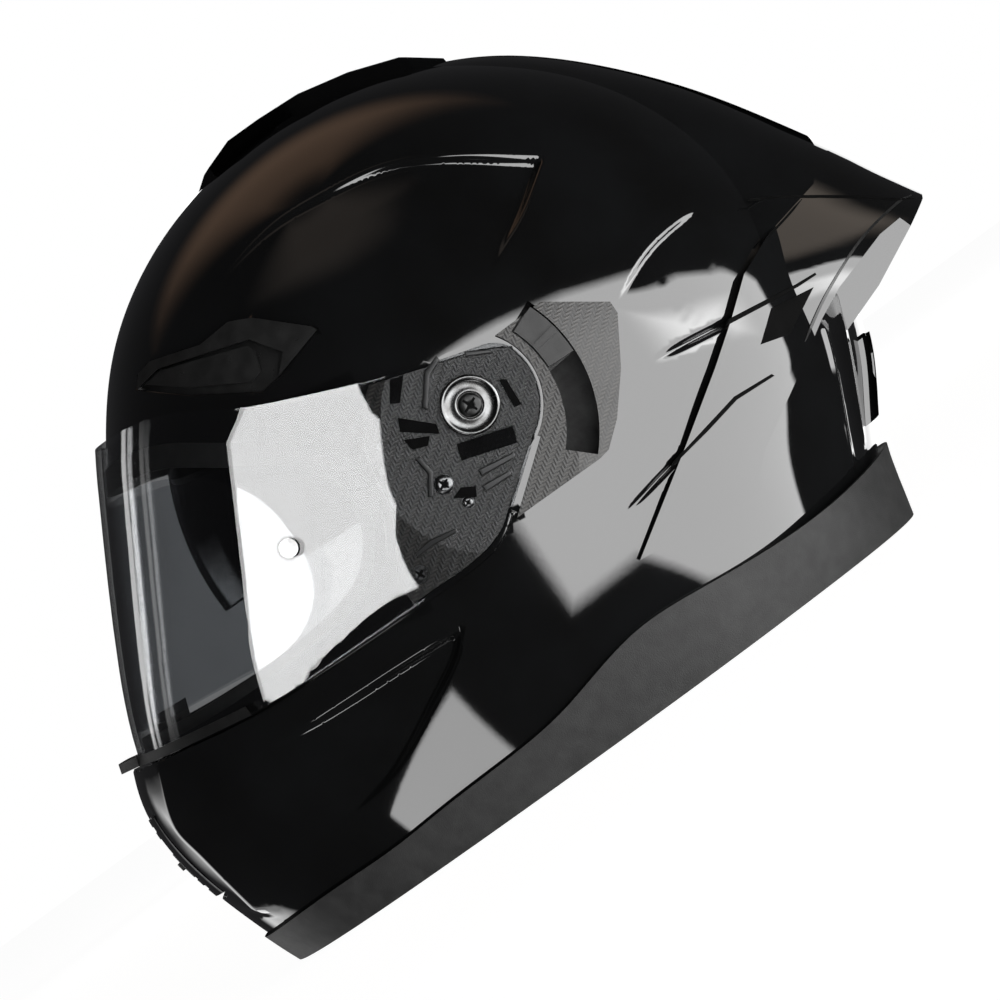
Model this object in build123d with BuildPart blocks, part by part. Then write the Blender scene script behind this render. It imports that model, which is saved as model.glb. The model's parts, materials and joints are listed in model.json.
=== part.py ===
"""Full-face motorcycle helmet, in millimetres.

Frame: +Z up with the rim on Z = 0, the face opening towards -X, the wearer's left side towards -Y.
The origin is the middle of the footprint.  Every curved skin is a slice of one family of nested
volumes: a side profile in the XZ plane, given as radii about the visor pivot axis, which shrinks
about that axis towards each side of the head.
"""

import os
from math import cos, exp, radians, sin

from build123d import *

# ---------------------------------------------------------------- driving dimensions
PIVOT = (5.0, 123.0)  # X and Z of the visor pivot axis, parallel to Y
SHELL_HALF_WIDTH = 124.0
SQUARENESS = 2.3  # exponent of the superellipse that each side-to-side section follows
SHELL_WALL = 4.0
RIM_HEIGHT = 3.0  # lower edge of the shell above the floor

VISOR_HALF_WIDTH = 127.6
VISOR_WALL = 2.2
VISOR_CLEARANCE = 0.8
EAR_RADIUS = 24.2  # round end of the visor about its pivot
BOSS_RADIUS = 8.0
RUNNING_GAP = 0.05
RING_RADIUS = 10.4
BOSS_END = 126.0  # |Y| of the boss's end
PLATE_OUT = 0.6  # base plate's face above the shell's
PLATE_IN = -2.4
PIVOT_SCREW_RADIUS = 2.5
SCREW_SHANK = 1.3
SCREWS = {"upper": (-18, 106.4, 3.5), "small": (-15, 96.6, 2.2), "lower": (-42.6, 86.4, 3.2)}  # X, Z, radius

SUN_AXIS = (-7.0, 120.0)  # X and Z of the sun visor axis, parallel to Y
SUN_RADIUS = 102.0
SUN_HALF_WIDTH = 93.0
SUN_WALL = 2.2
SUN_PIN_RADIUS = 3.0
SLOT_INNER, SLOT_OUTER = 40.8, 52.0  # arc slot of the sun visor knob
SLOT_TOP, SLOT_BOTTOM = 21.5, -44.0  # its ends, degrees about the sun visor axis
KNOB_TOP, KNOB_BOTTOM = 20.5, -3.0
LEVER_IN, LEVER_OUT = 111.4, 113.6  # |Y| of the lever under the shell

COVER_THICK = 2.2
TRIM_OUT = 2.0
SOFT_GAP = 0.4

SIDES = {"left": -1, "right": 1}

# Side profiles: (degrees from +X towards +Z, radius about the pivot axis).
SHELL_PROFILE = [
    (0, 138), (20, 131.5), (40, 126.5), (60, 124), (80, 123.5), (100, 124.5), (120, 127.5),
    (135, 130), (148, 131.5), (158, 134.5), (168, 142), (178, 154), (187, 169), (194, 184),
    (201, 192.5), (210, 199), (222, 209), (240, 218), (260, 219), (278, 209), (295, 182),
    (308, 159), (320, 145.5), (332, 144), (346, 141.5),
]
VISOR_PROFILE = [
    (0, 141), (30, 137), (60, 134.5), (90, 134), (120, 134), (140, 134.6), (150, 135.8),
    (160, 138.4), (170, 145), (180, 156.5), (188, 169), (195, 180), (205, 192), (220, 198),
    (240, 200), (270, 195), (300, 175), (330, 150),
]
SPOILER_PROFILE = [
    (0, 160.6), (10, 147.8), (20, 139.5), (30, 133.6), (40, 130), (50, 127.6), (62, 124.5),
    (80, 119), (120, 112), (180, 108), (240, 108), (290, 115), (315, 150), (330, 182), (345, 190),
    (354, 171),
]
LINER_PROFILE = [
    (0, 99), (30, 93), (60, 86), (90, 84), (120, 88), (150, 98), (180, 126), (195, 152),
    (210, 168), (230, 180), (270, 175), (305, 140), (330, 112),
]


def with_rear_flare(profile, height):
    """Profile that swells outwards by that height around the lower edge of the nape."""
    return [(a, r + height * exp(-(((a - 309) / 9) ** 2))) for a, r in profile]


os.makedirs("parts", exist_ok=True)


# ---------------------------------------------------------------- helpers
def save(builder, label):
    """Labels a finished piece and writes it as its own STEP file."""
    builder.part.label = label
    export_step(builder.part, f"parts/{label}.step")


def polar(angle, radius, axis=PIVOT):
    """Point in the XZ plane at that angle and radius about an axis."""
    return (axis[0] + radius * cos(radians(angle)), axis[1] + radius * sin(radians(angle)))


def volume(profile, half_width, grow=0.0, axis=PIVOT):
    """Closed helmet-shaped volume, grown by that much, ending in a small flat cap on each side."""
    shares = [0, 0.2, 0.38, 0.56, 0.72, 0.84, 0.93, 0.985]
    width = half_width + grow
    with BuildPart(mode=Mode.PRIVATE) as body:
        for share in [-s for s in reversed(shares[1:])] + shares:
            shrink = (1 - abs(share) ** SQUARENESS) ** (1 / SQUARENESS)
            with BuildSketch(Plane.XZ.offset(-share * width)):
                with BuildLine():
                    Spline(*[polar(a, (r + grow) * shrink, axis) for a, r in profile], periodic=True)
                make_face()
        loft()
    return body.part


def side_block(*runs, side=0, start=0.0, end=160.0):
    """Side-view outline extruded across the helmet, or from |Y| = start to end on one side.

    Each run is a list of points: a smooth curve through them, or a straight line for two.
    """
    with BuildPart(mode=Mode.PRIVATE) as block:
        with BuildSketch(Plane.XZ.offset(-side * start)):
            with BuildLine() as edge:
                for run in runs:
                    if len(run) > 2:
                        Spline(*run)
                    else:
                        Line(*run)
                if (edge.line @ 0 - edge.line @ 1).length > 1e-6:
                    Line(edge.line @ 1, edge.line @ 0)
            make_face()
        if side:
            extrude(amount=-side * (end - start))
        else:
            extrude(amount=end, both=True)
    return block.part


def polygon_block(points, side=0, start=0.0, end=160.0):
    """The same for an outline with straight sides."""
    sides = [[a, b] for a, b in zip(points, points[1:] + points[:1])]
    return side_block(*sides, side=side, start=start, end=end)


def disc(centre, radius, side, start, end):
    """Round bar parallel to Y between two distances from the middle plane."""
    with BuildPart(mode=Mode.PRIVATE) as bar:
        with BuildSketch(Plane.XZ.offset(-side * start)):
            with Locations(centre):
                Circle(radius)
        extrude(amount=-side * (end - start))
    return bar.part


def sector(axis, inner, outer, top, bottom, side, start, end):
    """Arc-shaped block about an axis parallel to Y, between two angles."""
    with BuildPart(mode=Mode.PRIVATE) as block:
        with BuildSketch(Plane.XZ.offset(-side * start)):
            with BuildLine():
                outside = CenterArc(axis, outer, bottom, top - bottom)
                inside = CenterArc(axis, inner, bottom, top - bottom)
                Line(outside @ 0, inside @ 0)
                Line(outside @ 1, inside @ 1)
            make_face()
        extrude(amount=-side * (end - start))
    return block.part


def level_block(low, high, x_from=-220.0, x_to=220.0, half=160.0):
    """Plain block between two heights."""
    with BuildPart(mode=Mode.PRIVATE) as block:
        with BuildSketch(Plane.XY.offset(low)):
            with Locations(((x_from + x_to) / 2, 0)):
                Rectangle(x_to - x_from, 2 * half)
        extrude(amount=high - low)
    return block.part


def skin(outline, outer, inner):
    """The layer between two nested volumes inside an outline block."""
    with BuildPart(mode=Mode.PRIVATE) as layer:
        add(outline)
        add(outer, mode=Mode.INTERSECT)
        add(inner, mode=Mode.SUBTRACT)
    return layer.part


# ---------------------------------------------------------------- nested volumes
shell_face = volume(SHELL_PROFILE, SHELL_HALF_WIDTH)
shell_back = volume(SHELL_PROFILE, SHELL_HALF_WIDTH - 2.5, -SHELL_WALL)
plate_face = volume(SHELL_PROFILE, SHELL_HALF_WIDTH, PLATE_OUT)
plate_seat = volume(SHELL_PROFILE, SHELL_HALF_WIDTH, PLATE_IN)
raised_low = volume(SHELL_PROFILE, SHELL_HALF_WIDTH, 1.8)
raised_mid = volume(SHELL_PROFILE, SHELL_HALF_WIDTH, 3.2)
cover_face = volume(SHELL_PROFILE, SHELL_HALF_WIDTH, COVER_THICK)
visor_face = volume(VISOR_PROFILE, VISOR_HALF_WIDTH)
visor_back = volume(VISOR_PROFILE, VISOR_HALF_WIDTH, -VISOR_WALL)
visor_room = volume(VISOR_PROFILE, VISOR_HALF_WIDTH, -VISOR_WALL - VISOR_CLEARANCE)
lip_back = volume(VISOR_PROFILE, VISOR_HALF_WIDTH, -8.5)
vent_floor = volume(SHELL_PROFILE, SHELL_HALF_WIDTH, -1.2)
flap_back = volume(SHELL_PROFILE, SHELL_HALF_WIDTH, -0.5)
flap_face = volume(SHELL_PROFILE, SHELL_HALF_WIDTH, 1.0)
fin_face = volume(SHELL_PROFILE, SHELL_HALF_WIDTH, 1.5)
liner_room = volume(LINER_PROFILE, 84.0)
spoiler_face = volume(SPOILER_PROFILE, 98.0)

# ---------------------------------------------------------------- side outlines
EYEPORT = [
    [
        (-230, 188), (-150, 182), (-118, 178.5), (-102, 176), (-90, 171), (-80, 164), (-69, 156),
        (-52, 143), (-44, 131), (-43, 118), (-48, 105), (-58, 95), (-79, 89), (-119, 88),
        (-150, 91), (-170, 95), (-230, 106),
    ]
]
VISOR_TOP = [
    (-230, 214), (-140, 196), (-113, 190.5), (-86, 184.5), (-59, 168.5), (-43.6, 161),
    (-18.3, 150), (19, 137.5),
]
VISOR_BOTTOM = [
    (-4.2, 86), (-12, 81), (-23.2, 78.4), (-45.4, 78.3), (-86, 79.4), (-118.3, 81.7),
    (-153, 87.6), (-170, 91), (-230, 102),
]
VISOR_EAR = [
    [VISOR_TOP[-1], (24.6, 135), polar(20, EAR_RADIUS)],
    [polar(a, EAR_RADIUS) for a in (20, 7, -7, -20, -34, -47, -60)],
    [polar(-60, EAR_RADIUS), VISOR_BOTTOM[0]],
]
VISOR = [VISOR_TOP, *VISOR_EAR, VISOR_BOTTOM]
VISOR_STEP = [
    [(x, z - 1.2) for x, z in VISOR_BOTTOM],
    [(-230, 100.8), (-230, 150)],
    [(-230, 150), (-4.2, 110)],
]
BASE_PLATE = [
    [(-19, 148.6), (18, 136.4)],
    [(18, 136.4), (24, 133.4), polar(20, EAR_RADIUS - 0.6)],
    [polar(a, EAR_RADIUS - 0.6) for a in (20, 7, -7, -20, -34, -47, -60)],
    [polar(-60, EAR_RADIUS - 0.6), (-5, 87)],
    [(-5, 87), (-12, 82.3), (-23, 79.6), (-50, 79.6)],
    [(-50, 79.6), (-48.5, 91), (-38, 108), (-35, 122), (-31, 134), (-19, 148.6)],
]
SIDE_COVER = [
    (45, 137.4), (64.4, 123.5), (64.2, 119), (54, 103), (42.9, 90), (34.3, 83), (30, 82.3),
    (-4.5, 82.6),
]
COVER_INNER = [
    [(-4.5, 82.6), polar(-60, 26.4)],
    [polar(a, 25.2) for a in (-60, -40, -20, 0, 20, 34)],
]
VENT_FIN = [
    (-85.5, 196.5), (-82, 200.7), (-76, 201.6), (-58, 195), (-45.5, 195.5), (-38, 191.7),
    (-23, 176.7), (-22, 174.6), (-36, 175.5), (-43, 186), (-75, 197.5),
]
VENT_FLAP = [
    (-82, 196), (-75, 196.6), (-44.6, 184.6), (-43.5, 181.5), (-46, 174.5), (-50.5, 173.5),
    (-70, 185.5),
]
VENT_ROOM = [
    (-85.5, 196.5), (-75, 197.5), (-43, 186), (-36, 175.5), (-42, 169.5), (-49.5, 168.6),
    (-71, 183),
]
VENT_BASE = VENT_FIN[:8] + VENT_ROOM[4:]
CHIN_VENT = [(-200, 36), (-150, 36), (-150, 72), (-200, 72)]
CHIN_VENT_HALF = 36.0
SPOILER_SIDE = [
    (192.8, 120), (165, 150), (158, 124.5), (148.6, 116), (124.4, 111), (108, 104.4), (94.8, 94.3),
    (80.4, 84.2), (57, 69), (20.8, 46.3), (69, 41), (71.4, 45.4), (78, 51.3), (105, 66.2),
    (121.5, 76), (133.2, 81.4), (156.5, 88), (178.6, 89.3),
]

# ---------------------------------------------------------------- shell and what is bonded to it
with BuildPart() as outer_shell:
    add(shell_face)
    add(shell_back, mode=Mode.SUBTRACT)
    chin_sill = skin(
        polygon_block([(-230, 92), (-153, 80), (-86, 72), (-44, 72), (-38, 128), (-230, 128)]),
        shell_face,
        lip_back,
    )
    add(chin_sill)
    add(skin(side_block(*VISOR_STEP), shell_face, visor_room), mode=Mode.SUBTRACT)
    add(side_block(*EYEPORT), mode=Mode.SUBTRACT)
    add(level_block(-120, RIM_HEIGHT), mode=Mode.SUBTRACT)
    for sign in SIDES.values():
        plate_recess = skin(side_block(*BASE_PLATE, side=sign, start=90), shell_face, plate_seat)
        add(plate_recess, mode=Mode.SUBTRACT)
        vent_recess = skin(polygon_block(VENT_BASE, side=sign, start=30), raised_mid, plate_seat)
        add(vent_recess, mode=Mode.SUBTRACT)
        add(disc(PIVOT, PIVOT_SCREW_RADIUS, sign, 100, 130), mode=Mode.SUBTRACT)
        for x, z, _ in SCREWS.values():
            add(disc((x, z), SCREW_SHANK, sign, 100, 130), mode=Mode.SUBTRACT)
    chin_recess = skin(polygon_block(CHIN_VENT, end=CHIN_VENT_HALF), raised_mid, plate_seat)
    add(chin_recess, mode=Mode.SUBTRACT)
    slot_ends = (SLOT_TOP + 1, SLOT_BOTTOM - 1)
    knob_slot = sector(SUN_AXIS, SLOT_INNER - 0.8, SLOT_OUTER + 0.8, *slot_ends, -1, 90, 130)
    add(knob_slot, mode=Mode.SUBTRACT)
save(outer_shell, "outer_shell")

trim_face = volume(with_rear_flare(SHELL_PROFILE, 7.0), SHELL_HALF_WIDTH, TRIM_OUT)
trim_back = volume(SHELL_PROFILE, SHELL_HALF_WIDTH - 2.5, -SHELL_WALL - 2.0)
TRIM_TOP = [
    (-230, 14), (-163, 14), (-133, 15.4), (-104, 15.4), (-85, 16.6), (-59, 17.6), (-32, 19.8),
    (-11, 24.6), (8, 27.6), (31, 26.2), (63, 22.8), (85, 22.4), (101, 23.6), (140, 31),
]
TRIM_SEAM = (-93.0, -57.0)  # X of the joint between the two mouldings, at the floor and 22 mm up
for label, start_x in (("front_trim", -230), ("rear_trim", 140)):
    with BuildPart() as trim:
        add(side_block(TRIM_TOP, [(140, 31), (140, 0)], [(140, 0), (-230, 0)], [(-230, 0), (-230, 14)]))
        add(trim_face, mode=Mode.INTERSECT)
        add(trim_back, mode=Mode.SUBTRACT)
        seam = [(TRIM_SEAM[0], 0), (TRIM_SEAM[1], 22), (TRIM_SEAM[1] + 6, 60), (start_x, 60), (start_x, 0)]
        add(polygon_block(seam), mode=Mode.INTERSECT)
        add(outer_shell.part, mode=Mode.SUBTRACT)
    save(trim, label)

# Rubber gasket around the face opening.
with BuildPart() as eyeport_seal:
    with BuildSketch(Plane.XZ):
        with BuildLine():
            Spline(*EYEPORT[0])
        trace(line_width=8.5)
    extrude(amount=160, both=True)
    add(volume(SHELL_PROFILE, SHELL_HALF_WIDTH, 1.4), mode=Mode.INTERSECT)
    add(volume(VISOR_PROFILE, VISOR_HALF_WIDTH, -VISOR_WALL - 1.1), mode=Mode.INTERSECT)
    add(volume(VISOR_PROFILE, VISOR_HALF_WIDTH, -10.5), mode=Mode.SUBTRACT)
    add(outer_shell.part, mode=Mode.SUBTRACT)
    for sign in SIDES.values():
        add(side_block(*BASE_PLATE, side=sign, start=90), mode=Mode.SUBTRACT)
save(eyeport_seal, "eyeport_seal")

# ---------------------------------------------------------------- impact liner and padding
SUN_PROFILE = [(a, SUN_RADIUS) for a in range(0, 360, 30)]
sun_room_out = volume(SUN_PROFILE, SUN_HALF_WIDTH, 1.6, SUN_AXIS)
sun_room_in = volume(SUN_PROFILE, SUN_HALF_WIDTH, -SUN_WALL - 1.6, SUN_AXIS)
SUN_SWEEP = [polar(a, 150, SUN_AXIS) for a in (190, 160, 130, 105, 84)]
SUN_SWEEP += [polar(a, 14, SUN_AXIS) for a in (60, 0, -60, -120)]
EYEPORT_CUT = [
    (-230, 194), (-118, 185), (-88, 178), (-62, 160), (-40, 142), (-35, 118), (-44, 100),
    (-56, 87), (-86, 79), (-118, 77), (-230, 80),
]
LINER_BOTTOM = 34.0

# The chin bar's foam is a moulding of its own, which meets the main one in front of the ears.
CHIN_FOAM = [(-230, LINER_BOTTOM), (-58, LINER_BOTTOM), (-58, 100), (-230, 100)]

with BuildPart() as foam:
    add(volume(SHELL_PROFILE, SHELL_HALF_WIDTH - 2.5, -SHELL_WALL - SOFT_GAP))
    add(liner_room, mode=Mode.SUBTRACT)
    add(level_block(-120, LINER_BOTTOM), mode=Mode.SUBTRACT)
    add(polygon_block(EYEPORT_CUT), mode=Mode.SUBTRACT)
    add(skin(polygon_block(SUN_SWEEP), sun_room_out, sun_room_in), mode=Mode.SUBTRACT)
    add(outer_shell.part, mode=Mode.SUBTRACT)
    for sign in SIDES.values():
        add(disc(SUN_AXIS, SUN_PIN_RADIUS, sign, 86, 120), mode=Mode.SUBTRACT)
        add(disc(SUN_AXIS, 7.0, sign, 90, 120), mode=Mode.SUBTRACT)
    add(disc(SUN_AXIS, 60.0, -1, LEVER_IN - 0.8, 120), mode=Mode.SUBTRACT)

with BuildPart() as impact_liner:
    add(foam.part)
    add(polygon_block(CHIN_FOAM), mode=Mode.SUBTRACT)
save(impact_liner, "impact_liner")

with BuildPart() as chin_liner:
    add(foam.part)
    add(polygon_block(CHIN_FOAM), mode=Mode.INTERSECT)
save(chin_liner, "chin_liner")

CROWN = [(-98, 187), (-72, 170), (-50, 153), (-30, 142), (60, 120), (120, 114), (120, 230), (-98, 230)]
with BuildPart() as crown_pad:
    add(skin(polygon_block(CROWN), volume(LINER_PROFILE, 84, -SOFT_GAP), volume(LINER_PROFILE, 84, -10)))
save(crown_pad, "crown_pad")

CHEEK = [
    [
        (-86, 30), (-94, 52), (-88, 72), (-66, 82), (-46, 95), (-36, 108), (0, 113), (34, 106),
        (40, 62), (34, 26),
    ],
    [(34, 26), (-86, 30)],
]
for side, sign in SIDES.items():
    with BuildPart() as cheek_pad:
        add(side_block(*CHEEK, side=sign, start=56.0))
        add(volume(LINER_PROFILE, 84, -SOFT_GAP), mode=Mode.INTERSECT)
    save(cheek_pad, f"cheek_pad_{side}")

with BuildPart() as neck_roll:
    add(
        skin(
            level_block(7, LINER_BOTTOM - 1, x_from=0),
            volume(SHELL_PROFILE, SHELL_HALF_WIDTH - 2.5, -SHELL_WALL - 2.0 - SOFT_GAP),
            volume(SHELL_PROFILE, SHELL_HALF_WIDTH - 2.5, -SHELL_WALL - 18.0),
        )
    )
save(neck_roll, "neck_roll")

with BuildPart() as chin_curtain:
    add(volume(SHELL_PROFILE, SHELL_HALF_WIDTH - 2.5, -SHELL_WALL - 2.0 - SOFT_GAP))
    add(level_block(7, 9.4, x_to=-92), mode=Mode.INTERSECT)
    with BuildSketch(Plane.XY):
        with Locations((-40, 0)):
            Circle(80)
    extrude(amount=30, mode=Mode.SUBTRACT)
save(chin_curtain, "chin_curtain")

# Soft nose guard that turns breath away from the visor.
with BuildPart() as breath_guard:
    add(
        skin(
            polygon_block([(-190, 84), (-130, 84), (-122, 92), (-120, 98), (-150, 101), (-190, 101)]),
            volume(VISOR_PROFILE, VISOR_HALF_WIDTH, -11.0),
            volume(VISOR_PROFILE, VISOR_HALF_WIDTH, -14.0),
        )
    )
    add(level_block(80, 120, half=44), mode=Mode.INTERSECT)
    for y in (-30, -15, 0, 15, 30):
        with BuildSketch(Plane.YZ.offset(-200)):
            with Locations((y, 94)):
                SlotOverall(10, 3.2)
        extrude(amount=100, mode=Mode.SUBTRACT)
save(breath_guard, "breath_guard")

# ---------------------------------------------------------------- rear fairing, spoiler and vents
SPOILER_TIP = [(180.8, 92), (178.6, 89.3), (146.5, 73.7), (124, 66), (124, 112), (158, 124.5)]
with BuildPart() as spoiler_skin:
    add(spoiler_face)
    add(raised_mid)
with BuildPart() as rear_spoiler:
    add(polygon_block(SPOILER_SIDE))
    add(polygon_block(SPOILER_TIP, end=52))
    add(spoiler_skin.part, mode=Mode.INTERSECT)
    add(shell_face, mode=Mode.SUBTRACT)
save(rear_spoiler, "rear_spoiler")

TOP_VENT_SIDE = [
    (-29, 200), (-29, 243), (-23, 247), (-9, 251.6), (4, 251.4), (21, 250.2), (40, 246.2),
    (58, 240), (71, 231), (74, 200),
]
TOP_VENT_PLAN = [(-30, 10), (-20, 19), (20, 25), (60, 18), (72, 8)]
with BuildPart() as top_vent_room:
    with BuildSketch(Plane.XY.offset(200)):
        Polygon(*TOP_VENT_PLAN, *[(x, -y) for x, y in reversed(TOP_VENT_PLAN)], align=None)
    extrude(amount=70)
    add(polygon_block(TOP_VENT_SIDE), mode=Mode.INTERSECT)
FAIRING = [
    (24, 290), (165, 150), (158, 124.5), (148.6, 116), (124.4, 111), (108, 104.4), (90, 120),
    (24, 150),
]
with BuildPart() as rear_fairing:
    add(skin(polygon_block(FAIRING), spoiler_face, shell_face))
    add(rear_spoiler.part, mode=Mode.SUBTRACT)
    add(top_vent_room.part, mode=Mode.SUBTRACT)
save(rear_fairing, "rear_fairing")

with BuildPart() as exhaust_vent:
    add(skin(polygon_block([(100, 36), (160, 36), (160, 62), (100, 62)]), raised_low, shell_face))
    add(level_block(30, 70, half=42), mode=Mode.INTERSECT)
    for y in (-28, -14, 0, 14, 28):
        with BuildSketch(Plane.YZ.offset(128)):
            with Locations((y, 49)):
                SlotOverall(18, 6, rotation=90)
        extrude(amount=40, mode=Mode.SUBTRACT)
save(exhaust_vent, "exhaust_vent")

SLIDER_LOW, SLIDER_HIGH = 126.8, 129.4  # radii of the crown slider about the pivot axis
TOP_TRAVEL = 3.5  # degrees about the pivot axis
with BuildPart() as top_vent:
    add(top_vent_room.part)
    add(shell_face, mode=Mode.SUBTRACT)
    with BuildSketch(Plane.YZ.offset(-34)):
        with Locations((0, 247.4)):
            SlotOverall(26, 3.4)
    extrude(amount=24, mode=Mode.SUBTRACT)
    add(sector(PIVOT, SLIDER_LOW - 0.4, 140, 93.5, 80 - TOP_TRAVEL - 0.5, 1, -7.6, 7.6), mode=Mode.SUBTRACT)
save(top_vent, "top_vent")

with BuildPart() as top_vent_slider:
    add(sector(PIVOT, SLIDER_LOW, SLIDER_HIGH - 0.8, 93, 80, 1, -7.0, 7.0))
    add(sector(PIVOT, SLIDER_HIGH - 0.8, SLIDER_HIGH, 88.5, 87, 1, -5.5, 5.5))
    add(sector(PIVOT, SLIDER_HIGH - 0.8, SLIDER_HIGH, 86, 84.5, 1, -5.5, 5.5))
save(top_vent_slider, "top_vent_slider")

# Forehead vents: a raised fin over a flap that slides rearwards along the shell.
for side, sign in SIDES.items():
    with BuildPart() as forehead_vent:
        add(skin(polygon_block(VENT_BASE, side=sign, start=30), fin_face, plate_seat))
        add(skin(polygon_block(VENT_ROOM, side=sign, start=30), raised_mid, vent_floor), mode=Mode.SUBTRACT)
    save(forehead_vent, f"forehead_vent_{side}")
    with BuildPart() as forehead_flap:
        add(skin(polygon_block(VENT_FLAP, side=sign, start=30), flap_face, flap_back))
    save(forehead_flap, f"forehead_flap_{side}")

# Chin vent: an insert in the chin bar with a shutter that slides up across its mouth.
CHIN_TRAVEL = 4.5
CHIN_LEAN = (-0.18, 0.984)  # X and Z of the shutter's path
shutter_floor = volume(SHELL_PROFILE, SHELL_HALF_WIDTH, -1.4)
shutter_back = volume(SHELL_PROFILE, SHELL_HALF_WIDTH, -0.6)
with BuildPart() as chin_vent:
    add(skin(polygon_block(CHIN_VENT, end=CHIN_VENT_HALF), plate_face, plate_seat))
    mouth = polygon_block([(-200, 44.5), (-150, 44.5), (-150, 64), (-200, 64)], end=22)
    add(skin(mouth, raised_mid, shutter_floor), mode=Mode.SUBTRACT)
    with BuildSketch(Plane.YZ.offset(-190)):
        with GridLocations(13, 0, 3, 1):
            with Locations((0, 61)):
                SlotOverall(9, 3.4)
        with Locations((0, 40.5), (0, 68)):
            SlotOverall(46, 2.4)
    extrude(amount=40, mode=Mode.SUBTRACT)
save(chin_vent, "chin_vent")

with BuildPart() as chin_shutter:
    blade = polygon_block([(-200, 46), (-150, 46), (-150, 57), (-200, 57)], end=21)
    above = polygon_block([(-200, 40), (-150, 40), (-150, 60), (-200, 60)], end=30)
    grip = polygon_block([(-200, 50), (-150, 50), (-150, 53), (-200, 53)], end=9)
    add(skin(blade, raised_low, shutter_back))
    add(skin(above, raised_mid, plate_face), mode=Mode.SUBTRACT)
    add(skin(grip, raised_low, plate_face))
save(chin_shutter, "chin_shutter")

# ---------------------------------------------------------------- visor mechanism
LATCH_MID = (3.8, 109.6)
LATCH_TILT = -18.0  # degrees, direction of the plunger from its spring
LATCH_TRAVEL = 2.0
screw_seat = volume(SHELL_PROFILE, SHELL_HALF_WIDTH, -1.4)
screw_end = volume(SHELL_PROFILE, SHELL_HALF_WIDTH, -3.6)


def latch_plane(sign, height):
    """Plane of the latch at that |Y|, with its X axis along the plunger."""
    along = (cos(radians(LATCH_TILT)), 0, sin(radians(LATCH_TILT)))
    return Plane(origin=(LATCH_MID[0], sign * height, LATCH_MID[1]), x_dir=along, z_dir=(0, sign, 0))


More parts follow.
